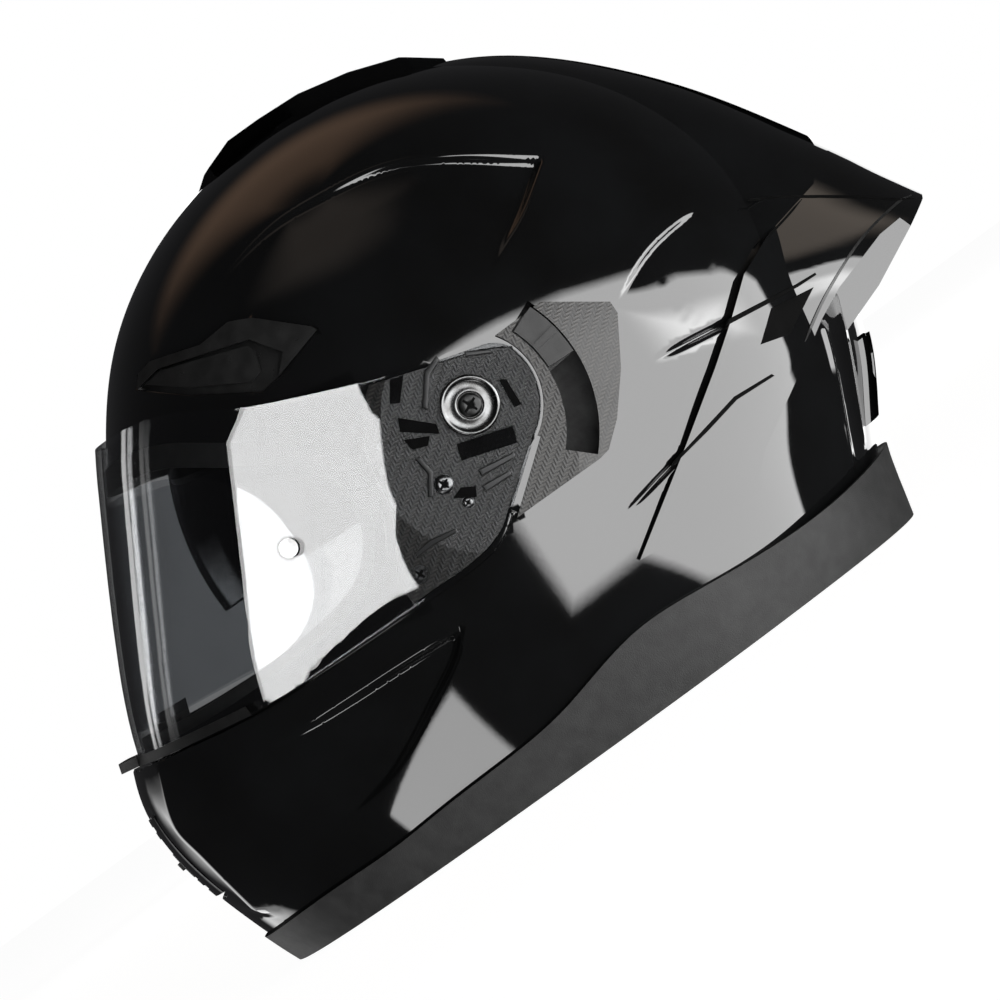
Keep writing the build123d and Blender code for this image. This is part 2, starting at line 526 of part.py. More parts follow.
PLATE_RIBS = [(15.2, 16.2, 150, 40), (12.2, 13.2, 128, 92), (21.4, 22.4, 10, -62)]  # radii, then degrees
for side, sign in SIDES.items():
    with BuildPart() as visor_base:
        add(skin(side_block(*BASE_PLATE, side=sign, start=90), plate_face, plate_seat))
        add(disc(PIVOT, BOSS_RADIUS, sign, 121, BOSS_END))
        for inner, outer, top, bottom in PLATE_RIBS:
            add(sector(PIVOT, inner, outer, top, bottom, sign, 121.6, 123.0))
        for angle in (196, 206, 216):
            add(sector(PIVOT, 21, 34, angle + 1.6, angle - 1.6, sign, 121, 122.9))
        add(disc(PIVOT, PIVOT_SCREW_RADIUS, sign, 110, 130), mode=Mode.SUBTRACT)
        for x, z, radius in SCREWS.values():
            screw_well = skin(disc((x, z), radius + 0.2, sign, 100, 130), raised_mid, screw_seat)
            add(screw_well, mode=Mode.SUBTRACT)
            add(disc((x, z), SCREW_SHANK, sign, 100, 130), mode=Mode.SUBTRACT)
        with BuildSketch(latch_plane(sign, 120.6)):
            Rectangle(17.6, 5.0)
        extrude(amount=6, mode=Mode.SUBTRACT)
        with BuildSketch(Plane.XZ.offset(-sign * 121.2)):
            with Locations((-24, 128), (-28, 121)):
                SlotOverall(11, 2.6, rotation=-18)
        extrude(amount=-sign * 6, mode=Mode.SUBTRACT)
    save(visor_base, f"visor_base_{side}")

    with BuildPart() as release_latch:
        with BuildSketch(latch_plane(sign, 120.8)):
            with Locations((5.2, 0)):
                Rectangle(5.0, 4.4)
        extrude(amount=1.7)
        with BuildSketch(latch_plane(sign, 121.35)):
            with Locations((0.6, 0)):
                Rectangle(4.6, 0.7)
        extrude(amount=0.7)
        with BuildSketch(latch_plane(sign, 122.5)):
            with Locations((4.4, 0), (5.9, 0)):
                Rectangle(0.6, 3.6)
        extrude(amount=0.3)
    save(release_latch, f"release_latch_{side}")

    spring_line = latch_plane(sign, 121.7)
    spring_start = spring_line.from_local_coords(Vector(-7.6, 0, 0))
    with BuildPart() as latch_spring:
        with BuildLine():
            coil = Helix(
                pitch=1.3, height=10.2, radius=0.72, center=spring_start, direction=spring_line.x_dir
            )
        with BuildSketch(Plane(origin=coil @ 0, z_dir=coil % 0)):
            Circle(0.2)
        sweep(path=coil)
    save(latch_spring, f"latch_spring_{side}")

    with BuildPart() as base_screws:
        for x, z, radius in SCREWS.values():
            add(skin(disc((x, z), radius, sign, 100, 130), plate_face, screw_seat))
            add(skin(disc((x, z), SCREW_SHANK, sign, 100, 130), screw_seat, screw_end))
            with BuildSketch(Plane.XZ.offset(-sign * 120.8)):
                with Locations((x, z)):
                    Rectangle(radius * 1.1, radius * 0.28, rotation=24)
                    Rectangle(radius * 0.28, radius * 1.1, rotation=24)
            extrude(amount=-sign * 4, mode=Mode.SUBTRACT)
    save(base_screws, f"base_screws_{side}")

    with BuildPart() as pivot_ring:
        add(disc(PIVOT, RING_RADIUS, sign, BOSS_END, BOSS_END + 1.3))
        add(disc(PIVOT, RING_RADIUS - 2.2, sign, BOSS_END + 0.6, BOSS_END + 2), mode=Mode.SUBTRACT)
        add(disc(PIVOT, 4.3, sign, BOSS_END - 1, BOSS_END + 2), mode=Mode.SUBTRACT)
        chamfer(pivot_ring.edges().filter_by(GeomType.CIRCLE).group_by(Axis.Y)[0 if sign < 0 else -1], 0.25)
    save(pivot_ring, f"pivot_ring_{side}")

    with BuildPart() as pivot_screw:
        add(disc(PIVOT, 4.2, sign, BOSS_END, BOSS_END + 1.0))
        add(disc(PIVOT, 2.45, sign, 117.5, BOSS_END))
        with BuildSketch(Plane.XZ.offset(-sign * (BOSS_END + 1.0))):
            with Locations(PIVOT):
                RegularPolygon(2.2, 6)
        extrude(amount=sign * 1.6, mode=Mode.SUBTRACT)
    save(pivot_screw, f"pivot_screw_{side}")

    with BuildPart() as side_cover:
        outline = [[a, b] for a, b in zip(SIDE_COVER, SIDE_COVER[1:])]
        closing = [COVER_INNER[1][-1], SIDE_COVER[0]]
        add(skin(side_block(*outline, *COVER_INNER, closing, side=sign, start=90), cover_face, shell_face))
        if side == "left":
            slot = sector(SUN_AXIS, SLOT_INNER, SLOT_OUTER, SLOT_TOP, SLOT_BOTTOM, sign, 100, 130)
            add(slot, mode=Mode.SUBTRACT)
    save(side_cover, f"side_cover_{side}")

# ---------------------------------------------------------------- visor and what turns with it
with BuildPart() as visor:
    add(skin(side_block(*VISOR), visor_face, visor_back))
    for sign in SIDES.values():
        add(disc(PIVOT, BOSS_RADIUS + RUNNING_GAP, sign, 110, 130), mode=Mode.SUBTRACT)
        add(disc((-73.7, 120), 2.0, sign, 90, 130), mode=Mode.SUBTRACT)
save(visor, "visor")

with BuildPart() as visor_tab:
    tab = [(x, z + 3.2) for x, z in VISOR_BOTTOM[:4:-1]] + [(x, z - 0.4) for x, z in VISOR_BOTTOM[5:]]
    add(skin(polygon_block(tab), volume(VISOR_PROFILE, VISOR_HALF_WIDTH, 1.4), visor_face))
    add(skin(polygon_block(tab, end=26), volume(VISOR_PROFILE, VISOR_HALF_WIDTH, 8.6), visor_face))
save(visor_tab, "visor_tab")

INSERT = [
    [(-230, 182), (-120, 171), (-100, 167), (-82, 155), (-72, 139), (-70, 122), (-74, 105), (-85, 95),
     (-118, 94), (-150, 98), (-230, 112)],
]
with BuildPart() as anti_fog_insert:
    add(
        skin(
            side_block(*INSERT),
            volume(VISOR_PROFILE, VISOR_HALF_WIDTH, -VISOR_WALL - 0.02),
            volume(VISOR_PROFILE, VISOR_HALF_WIDTH, -VISOR_WALL - 0.7),
        )
    )
    for sign in SIDES.values():
        add(disc((-73.7, 120), 4.2, sign, 90, 130), mode=Mode.SUBTRACT)
save(anti_fog_insert, "anti_fog_insert")

pin_head_out = volume(VISOR_PROFILE, VISOR_HALF_WIDTH, 0.9)
pin_head_in = volume(VISOR_PROFILE, VISOR_HALF_WIDTH, -VISOR_WALL - 0.75)
for side, sign in SIDES.items():
    with BuildPart() as insert_pin:
        add(skin(disc((-73.7, 120), 3.4, sign, 90, 130), pin_head_out, visor_face))
        add(skin(disc((-73.7, 120), 1.98, sign, 90, 130), pin_head_out, pin_head_in))
        add(skin(disc((-73.7, 120), 3.4, sign, 90, 130), visor_back, pin_head_in))
    save(insert_pin, f"insert_pin_{side}")

# ---------------------------------------------------------------- sun visor, its lever and pins
SUN_LENS = [
    [polar(128, 9, SUN_AXIS), polar(128, 150, SUN_AXIS)],
    [polar(128, 150, SUN_AXIS), polar(184, 150, SUN_AXIS)],
    [polar(184, 150, SUN_AXIS), polar(184, 60, SUN_AXIS), polar(192, 30, SUN_AXIS), polar(230, 10, SUN_AXIS)],
    [polar(230, 10, SUN_AXIS), polar(320, 9.5, SUN_AXIS), polar(50, 9, SUN_AXIS), polar(128, 9, SUN_AXIS)],
]
with BuildPart() as sun_visor:
    add(
        skin(
            side_block(*SUN_LENS),
            volume(SUN_PROFILE, SUN_HALF_WIDTH, 0, SUN_AXIS),
            volume(SUN_PROFILE, SUN_HALF_WIDTH, -SUN_WALL, SUN_AXIS),
        )
    )
    for sign in SIDES.values():
        add(disc(SUN_AXIS, SUN_PIN_RADIUS + RUNNING_GAP, sign, 70, 130), mode=Mode.SUBTRACT)
save(sun_visor, "sun_visor")

with BuildPart() as sun_lever:
    add(disc(SUN_AXIS, 5.6, -1, 91.7, LEVER_IN))
    add(disc(SUN_AXIS, 8.0, -1, LEVER_IN, LEVER_OUT))
    arm = [
        polar(100, 7, SUN_AXIS), polar(KNOB_TOP, SLOT_OUTER - 0.6, SUN_AXIS),
        polar(8, SLOT_OUTER, SUN_AXIS), polar(KNOB_BOTTOM, SLOT_OUTER - 0.6, SUN_AXIS),
        polar(-85, 7, SUN_AXIS),
    ]
    add(polygon_block(arm, side=-1, start=LEVER_IN, end=LEVER_OUT))
    knob = (SUN_AXIS, SLOT_INNER + 0.6, SLOT_OUTER - 0.6, KNOB_TOP, KNOB_BOTTOM, -1)
    add(sector(*knob, LEVER_IN, 123.6))
    add(sector(SUN_AXIS, SLOT_INNER + 0.6, SLOT_OUTER - 0.6, 9.5, 6.5, -1, 120, 125.2))
    add(disc(SUN_AXIS, SUN_PIN_RADIUS + RUNNING_GAP, -1, 80, 130), mode=Mode.SUBTRACT)
save(sun_lever, "sun_lever")

for side, sign in SIDES.items():
    with BuildPart() as sun_pin:
        add(disc(SUN_AXIS, SUN_PIN_RADIUS, sign, 86, 118))
        add(shell_back, mode=Mode.INTERSECT)
    save(sun_pin, f"sun_pin_{side}")

# ---------------------------------------------------------------- chin strap
STRAP_X, STRAP_WIDTH, STRAP_THICK = -34.0, 24.0, 1.8
STRAP_PATH = [(104, 26.5), (95, 19.5), (80, 13.6), (58, 10), (34, 9), (10, 9)]  # |Y| and Z
ANCHOR = (107.0, 26.5)
for side, sign in SIDES.items():
    with BuildPart() as chin_strap:
        with BuildSketch(Plane.YZ.offset(STRAP_X - STRAP_WIDTH / 2)):
            with BuildLine():
                Spline(*[(sign * y, z) for y, z in STRAP_PATH])
            trace(line_width=STRAP_THICK)
        extrude(amount=STRAP_WIDTH)
    save(chin_strap, f"chin_strap_{side}")

    with BuildPart() as strap_pad:
        with BuildSketch(Plane.YZ.offset(STRAP_X - 17)):
            with BuildLine():
                Spline(*[(sign * y, z + 4.3) for y, z in ((86, 15.7), (76, 12.7), (58, 10), (46, 9.3))])
            trace(line_width=5.0)
        extrude(amount=34)
    save(strap_pad, f"strap_pad_{side}")

    with BuildPart() as strap_anchor:
        with BuildSketch(Plane.XZ.offset(-sign * 104.6)):
            with Locations((STRAP_X, ANCHOR[1])):
                Circle(4.6)
        extrude(amount=-sign * 1.4)
        with BuildSketch(Plane.XZ.offset(-sign * 105.9)):
            with Locations((STRAP_X, ANCHOR[1])):
                Circle(2.5)
        extrude(amount=-sign * 8)
        add(shell_back, mode=Mode.INTERSECT)
    save(strap_anchor, f"strap_anchor_{side}")

BUCKLE_PIN = (-20.0, 12.6)  # Y and Z of the lever's hinge, parallel to X
PIN_RADIUS = 1.2
with BuildPart() as buckle_frame:
    with BuildSketch(Plane.YZ.offset(STRAP_X - 15)):
        with BuildLine():
            Polyline((-25, 6), (22, 6), (22, 9), (14, 13), (-16, 15), (-25, 13), close=True)
        make_face()
    extrude(amount=30)
    with BuildSketch(Plane.YZ.offset(STRAP_X - 13.2)):
        with Locations((0, 12.4)):
            Rectangle(60, 10)
    extrude(amount=26.4, mode=Mode.SUBTRACT)
    with BuildSketch(Plane.YZ.offset(STRAP_X - 16)):
        with Locations(BUCKLE_PIN):
            Circle(PIN_RADIUS)
    extrude(amount=32, mode=Mode.SUBTRACT)
    with BuildSketch(Plane.XY.offset(5)):
        with Locations((STRAP_X, -16), (STRAP_X, 16)):
            SlotOverall(18, 3)
    extrude(amount=4, mode=Mode.SUBTRACT)
save(buckle_frame, "buckle_frame")

with BuildPart() as buckle_pin:
    with BuildSketch(Plane.YZ.offset(STRAP_X - 15.6)):
        with Locations(BUCKLE_PIN):
            Circle(PIN_RADIUS)
    extrude(amount=31.2)
save(buckle_pin, "buckle_pin")

with BuildPart() as buckle_lever:
    with BuildSketch(Plane.YZ.offset(STRAP_X - 12.6)):
        with BuildLine():
            Polyline(
                (-20, 14.8), (-20, 13), (-16, 13.4), (4, 14.2), (14, 16.6), (14, 18), (2, 16), close=True
            )
        make_face()
        with Locations(BUCKLE_PIN):
            Circle(2.2)
            Circle(PIN_RADIUS + RUNNING_GAP, mode=Mode.SUBTRACT)
    extrude(amount=25.2)
    with BuildSketch(Plane.XY.offset(5)):
        with Locations((STRAP_X, -3)):
            SlotOverall(14, 6)
    extrude(amount=20, mode=Mode.SUBTRACT)
save(buckle_lever, "buckle_lever")

with BuildPart() as strap_tongue:
    with BuildSketch(Plane.XY.offset(10.2)):
        with Locations((STRAP_X, 18)):
            RectangleRounded(21, 34, 4)
    extrude(amount=1.4)
    for y in range(4, 18, 2):
        with BuildSketch(Plane.XY.offset(11.6)):
            with Locations((STRAP_X, y)):
                Rectangle(16, 0.9)
        extrude(amount=0.7)
save(strap_tongue, "strap_tongue")
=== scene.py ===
"""Full-face motorcycle helmet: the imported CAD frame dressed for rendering.

Everything is in the CAD frame, in metres: face towards -X, wearer's left towards -Y, rim on Z = 0.
Curved skins are described in millimetres by the same family of nested volumes as the CAD.
"""

import math

import bpy
import numpy as np
from mathutils import Matrix, Vector
from mathutils.geometry import delaunay_2d_cdt
from mathutils.kdtree import KDTree
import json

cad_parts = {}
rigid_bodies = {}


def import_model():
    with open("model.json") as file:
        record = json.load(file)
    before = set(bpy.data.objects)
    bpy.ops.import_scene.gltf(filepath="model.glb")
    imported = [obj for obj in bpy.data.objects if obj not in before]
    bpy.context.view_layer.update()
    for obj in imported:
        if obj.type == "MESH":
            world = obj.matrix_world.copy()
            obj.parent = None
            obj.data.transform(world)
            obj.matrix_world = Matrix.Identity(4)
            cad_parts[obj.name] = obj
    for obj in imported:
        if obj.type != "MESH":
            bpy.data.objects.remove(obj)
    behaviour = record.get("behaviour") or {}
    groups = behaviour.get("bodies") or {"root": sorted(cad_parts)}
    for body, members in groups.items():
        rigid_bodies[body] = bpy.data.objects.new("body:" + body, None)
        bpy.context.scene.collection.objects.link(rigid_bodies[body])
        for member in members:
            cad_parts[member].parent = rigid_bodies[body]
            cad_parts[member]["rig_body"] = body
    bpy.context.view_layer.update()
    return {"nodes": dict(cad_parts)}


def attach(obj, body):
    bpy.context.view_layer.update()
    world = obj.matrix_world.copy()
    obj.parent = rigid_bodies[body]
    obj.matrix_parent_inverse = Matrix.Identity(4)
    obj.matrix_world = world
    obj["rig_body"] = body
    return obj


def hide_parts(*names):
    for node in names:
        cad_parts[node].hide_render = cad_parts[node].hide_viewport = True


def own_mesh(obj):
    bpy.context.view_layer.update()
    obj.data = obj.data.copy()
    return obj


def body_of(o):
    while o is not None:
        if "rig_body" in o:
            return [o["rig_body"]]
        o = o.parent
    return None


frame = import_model()
nodes = frame["nodes"]
MM = 0.001
SIDES = {"left": -1, "right": 1}


def smooth_step(t):
    t = np.clip(t, 0.0, 1.0)
    return t * t * (3 - 2 * t)


def unit(rows, least=1e-9):
    """Each row scaled to length one."""
    return rows / np.maximum(np.linalg.norm(rows, axis=1, keepdims=True), least)


def add_object(name, data):
    made = bpy.data.objects.new(name, data)
    bpy.context.scene.collection.objects.link(made)
    return made


def add_node(tree, kind, values=None, **settings):
    """Shader node with its inputs set, or linked where the value is another node's output."""
    made = tree.nodes.new(kind)
    for key, value in settings.items():
        setattr(made, key, value)
    for key, value in (values or {}).items():
        if isinstance(value, bpy.types.NodeSocket):
            tree.links.new(value, made.inputs[key])
        else:
            made.inputs[key].default_value = value
    return made


def shade_smooth(mesh):
    mesh.polygons.foreach_set("use_smooth", np.ones(len(mesh.polygons), bool))


def grid_faces(rows, columns, wrap=False):
    """Quads over points laid out row by row, whose last column may join the first."""
    width = columns if wrap else columns + 1
    return [(i * width + j, i * width + (j + 1) % width,
             (i + 1) * width + (j + 1) % width, (i + 1) * width + j)
            for i in range(rows) for j in range(columns)]


# ---------------------------------------------------------------- materials
class Finish:
    """A Principled material under construction, with short names for the nodes it needs."""

    def __init__(self, name, roughness=0.5, metallic=0.0, **sockets):
        self.material = bpy.data.materials.new(name)
        self.material.use_nodes = True
        self.tree = self.material.node_tree
        self.shader = self.tree.nodes["Principled BSDF"]
        self.set(Roughness=roughness, Metallic=metallic, **sockets)
        self.place = self.node("ShaderNodeTexCoord").outputs["Object"]

    def set(self, **sockets):
        for key, value in sockets.items():
            self.shader.inputs[key.replace("_", " ")].default_value = value

    def node(self, kind, values=None, **settings):
        return add_node(self.tree, kind, values, **settings)

    def link(self, source, socket):
        self.tree.links.new(source, self.shader.inputs[socket])

    def noise(self, scale, detail=2.0, place=None):
        values = {"Vector": place or self.place, "Scale": scale, "Detail": detail}
        return self.node("ShaderNodeTexNoise", values).outputs["Fac"]

    def wave(self, direction, scale, distortion, **extra):
        values = {"Vector": self.place, "Scale": scale, "Distortion": distortion}
        values.update({key.replace("_", " "): value for key, value in extra.items()})
        return self.node("ShaderNodeTexWave", values, bands_direction=direction).outputs["Fac"]

    def ramp(self, fac, low, high, start=0.35, end=0.65):
        made = self.node("ShaderNodeValToRGB", {"Fac": fac})
        made.color_ramp.elements[0].position = start
        made.color_ramp.elements[1].position = end
        made.color_ramp.elements[0].color = (*low, 1)
        made.color_ramp.elements[1].color = (*high, 1)
        return made.outputs["Color"]

    def span(self, fac, low, high):
        values = {"Value": fac, "To Min": low, "To Max": high}
        return self.node("ShaderNodeMapRange", values).outputs["Result"]

    def math(self, operation, a, b=0.0):
        return self.node("ShaderNodeMath", {0: a, 1: b}, operation=operation).outputs[0]

    def colour(self, low, high, scale, detail=3.0, start=0.35, end=0.65):
        self.link(self.ramp(self.noise(scale, detail), low, high, start, end), "Base Color")
        return self

    def rough(self, low, high, scale, detail=2.0):
        self.link(self.span(self.noise(scale, detail), low, high), "Roughness")
        return self

    def bump(self, height, strength, distance):
        values = {"Height": height, "Strength": strength, "Distance": distance}
        self.link(self.node("ShaderNodeBump", values).outputs["Normal"], "Normal")
        return self


def grey(value, warm=0.0):
    """A grey triple, slightly warm or cool."""
    return (value * (1 + warm), value, value * (1 - warm))


def gloss_black():
    made = Finish("gloss_black", Coat_Weight=1.0, Coat_Roughness=0.015)
    made.colour(grey(0.0022), grey(0.0036, -0.05), 26, 4)
    made.rough(0.03, 0.07, 70, 4)
    return made.bump(made.noise(420, 1.0), 0.02, 0.0002).material


def grained_plastic(name, low, high, roughness, grain=2100.0, strength=0.35, warm=0.0):
    """Moulded plastic with a fine spark-eroded grain."""
    made = Finish(name)
    made.colour(grey(low, warm), grey(high, warm), 180, 5)
    made.rough(roughness - 0.06, roughness + 0.06, 240)
    return made.bump(made.noise(grain, 3.0), strength, 0.00025).material


def seam_painted_shade():
    """Painted shade for the bottom of a seam, notch, slot or recess, which catches hardly any
    light: near-black and barely reflective.
    """
    made = Finish("seam_painted_shade", roughness=0.7)
    made.set(**{"Specular IOR Level": 0.06})
    made.colour(grey(0.0015), grey(0.003), 120, 3)
    return made.material


def metal(name, low, high, roughness):
    made = Finish(name, metallic=1.0)
    made.colour(grey(low, 0.01), grey(high, -0.01), 150, 4)
    made.rough(roughness - 0.06, roughness + 0.08, 900, 3)
    return made.bump(made.noise(2600, 2.0), 0.05, 0.0001).material


WAVE_PITCH = 0.314  # a wave texture of scale one repeats at this distance, m


def fabric(name, low, high, pitch, strength=0.6, sheen=0.25):
    """Knitted cloth: two crossed sets of ribs at that pitch, in metres."""
    made = Finish(name, roughness=0.9, Sheen_Weight=sheen, Sheen_Roughness=0.5)
    made.set(**{"Specular IOR Level": 0.2})
    ribs = [made.wave(way, WAVE_PITCH / pitch, 1.2, Detail=1.0, Detail_Scale=3.0) for way in "XYZ"]
    weave = made.math(
        "MULTIPLY", made.math("ADD", ribs[0], ribs[2]), made.math("ADD", ribs[1], 0.4))
    patches = made.math("MULTIPLY", made.noise(90, 3), 0.5)
    mottled = made.math("ADD", made.math("MULTIPLY", weave, 0.45), patches)
    made.link(made.ramp(mottled, grey(low), grey(high), 0.15, 0.95), "Base Color")
    return made.bump(weave, strength, 0.0006).material


def webbing():
    """Woven strap: ribs across it, with a herringbone in them."""
    made = Finish("webbing", roughness=0.75, Sheen_Weight=0.2)
    weave = made.math("MULTIPLY", made.wave("Y", 210.0, 0.6), made.wave("X", 150.0, 0.4))
    made.link(made.ramp(weave, grey(0.006), grey(0.032), 0.05, 0.9), "Base Color")
    return made.bump(weave, 0.7, 0.0005).material


def see_through(name, tint, gloss=0.85):
    """Thin clear moulding: tinted see-through body under a glossy face."""
    made = Finish(name, roughness=0.02)
    dust = made.ramp(made.noise(35, 5), tint, tuple(t * 0.985 for t in tint), 0.3, 0.7)
    clear = made.node("ShaderNodeBsdfTransparent", {"Color": dust})
    facing = made.node("ShaderNodeLayerWeight", {"Blend": 0.5}).outputs["Facing"]
    steep = made.math("POWER", facing, 5.0)
    share = made.math("ADD", made.math("MULTIPLY", steep, gloss), 0.05)
    film = made.span(made.noise(45, 5), 0.008, 0.03)
    glossy = made.node("ShaderNodeBsdfAnisotropic", {"Color": (1, 1, 1, 1), "Roughness": film})
    mix = made.node("ShaderNodeMixShader", {0: share, 1: clear.outputs[0], 2: glossy.outputs[0]})
    made.tree.links.new(mix.outputs[0], made.tree.nodes["Material Output"].inputs["Surface"])
    return made.material


TOW_WIDTH = 0.00115  # one tow of the carbon twill, m


def carbon():
    """Twill weave seen in the side plane, in grey-brown tows over dark resin, with painted sheen:
    each tow lighter towards its middle, and the warp brighter than the weft.
    """
    made = Finish("carbon_twill", roughness=0.34, Coat_Weight=0.12, Coat_Roughness=0.2)
    turned = made.node("ShaderNodeMapping", {"Vector": made.place}, vector_type="TEXTURE")
    turned.inputs["Rotation"].default_value = (0, math.radians(9), 0)
    axes = made.node("ShaderNodeSeparateXYZ", {"Vector": turned.outputs[0]})
    across = made.math("MULTIPLY", axes.outputs["X"], 1 / TOW_WIDTH)
    along = made.math("MULTIPLY", axes.outputs["Z"], 1 / TOW_WIDTH)
    cell = made.math("SUBTRACT", made.math("FLOOR", across), made.math("FLOOR", along))
    over = made.math("LESS_THAN", made.math("FLOORED_MODULO", cell, 4.0), 1.9)
    # Painted sheen: a lighter band along the middle of each tow, and the warp painted brighter than
    # the weft.
    weft_painted_sheen = made.math("PINGPONG", made.math("MULTIPLY", across, 2.0), 1.0)
    warp_painted_sheen = made.math("PINGPONG", made.math("MULTIPLY", along, 2.0), 1.0)
    warp = made.math("MULTIPLY", over, warp_painted_sheen)
    weft = made.math("MULTIPLY", made.math("SUBTRACT", 1.0, over), weft_painted_sheen)
    weave_and_painted_sheen = made.math("ADD", made.math("MULTIPLY", warp, 0.95), made.math("MULTIPLY", weft, 0.28))
    weave_and_painted_sheen = made.math("ADD", weave_and_painted_sheen, made.math("MULTIPLY", made.noise(240, 4), 0.35))
    resin, tow = (0.003, 0.0028, 0.0026), (0.040, 0.037, 0.034)
    made.link(made.ramp(weave_and_painted_sheen, resin, tow, 0.2, 1.15), "Base Color")
    return made.bump(made.math("ADD", warp, weft), 0.25, 0.0002).material


MATERIALS = {
    "shell": gloss_black(),
    "trim": grained_plastic("trim_grain", 0.014, 0.022, 0.56, 2300, 0.5),
    "rubber": grained_plastic("rubber", 0.008, 0.014, 0.62, 1500, 0.2),
    "foam": grained_plastic("expanded_foam", 0.02, 0.035, 0.85, 420, 0.6),
    "pad": fabric("pad_knit", 0.010, 0.050, 0.0016),
    "mesh": fabric("mesh_knit", 0.006, 0.034, 0.0028, 0.9),
    "webbing": webbing(),
    "clear": see_through("clear_lens", (0.93, 0.935, 0.94)),
    "insert": see_through("insert_lens", (0.88, 0.89, 0.90), 0.6),
    "sun": see_through("sun_lens", (0.21, 0.215, 0.225)),
    "carbon": carbon(),
    "black": grained_plastic("moulded_black", 0.006, 0.010, 0.38, 1800, 0.08),
    "satin": grained_plastic("satin_black", 0.010, 0.016, 0.3, 1500, 0.06),
    # painted shade, laid in seams, notches, slots and screw recesses
    "seam": seam_painted_shade(),
    "bright": metal("bright_metal", 0.11, 0.2, 0.24),
    "coil": metal("spring_steel", 0.3, 0.45, 0.25),
    "dark": metal("dark_steel", 0.025, 0.06, 0.3),
}
BY_NODE = {  # a name that ends in an underscore stands for its left and right nodes
    "shell": ["outer_shell", "rear_spoiler", "rear_fairing", "top_vent", "chin_vent",
              "exhaust_vent"],
    "trim": ["front_trim", "rear_trim"],
    "rubber": ["eyeport_seal", "breath_guard"],
    "foam": ["impact_liner", "chin_liner"],
    "pad": ["crown_pad", "cheek_pad_", "neck_roll", "strap_pad_"],
    "mesh": ["chin_curtain"],
    "webbing": ["chin_strap_"],
    "clear": ["visor"],
    "insert": ["anti_fog_insert"],
    "sun": ["sun_visor"],
    "carbon": ["visor_base_", "side_cover_"],
    "black": ["top_vent_slider", "chin_shutter", "sun_lever", "visor_tab", "strap_tongue",
              "release_latch_"],
    "satin": ["forehead_vent_", "forehead_flap_"],
    "bright": ["pivot_ring_", "insert_pin_", "base_screws_", "buckle_pin", "buckle_frame",
               "buckle_lever"],
    "dark": ["pivot_screw_", "latch_spring_", "sun_pin_", "strap_anchor_"],
}
for finish, names in BY_NODE.items():
    for name in names:
        for full_name in [name + side for side in SIDES] if name.endswith("_") else [name]:
            nodes[full_name].data.materials.clear()
            nodes[full_name].data.materials.append(MATERIALS[finish])

# ---------------------------------------------------------------- skins
PIVOT = np.array((5.0, 0.0, 123.0))  # middle of the visor's hinge axis, mm
SQUARENESS = 2.3
SHELL_PROFILE = [
    (0, 138), (20, 131.5), (40, 126.5), (60, 124), (80, 123.5), (100, 124.5), (120, 127.5),
    (135, 130), (148, 131.5), (158, 134.5), (168, 142), (178, 154), (187, 169), (194, 184),
    (201, 192.5), (210, 199), (222, 209), (240, 218), (260, 219), (278, 209), (295, 182),
    (308, 159), (320, 145.5), (332, 144), (346, 141.5),
]
VISOR_PROFILE = [
    (0, 141), (30, 137), (60, 134.5), (90, 134), (120, 134), (140, 134.6), (150, 135.8),
    (160, 138.4), (170, 145), (180, 156.5), (188, 169), (195, 180), (205, 192), (220, 198),
    (240, 200), (270, 195), (300, 175), (330, 150),
]


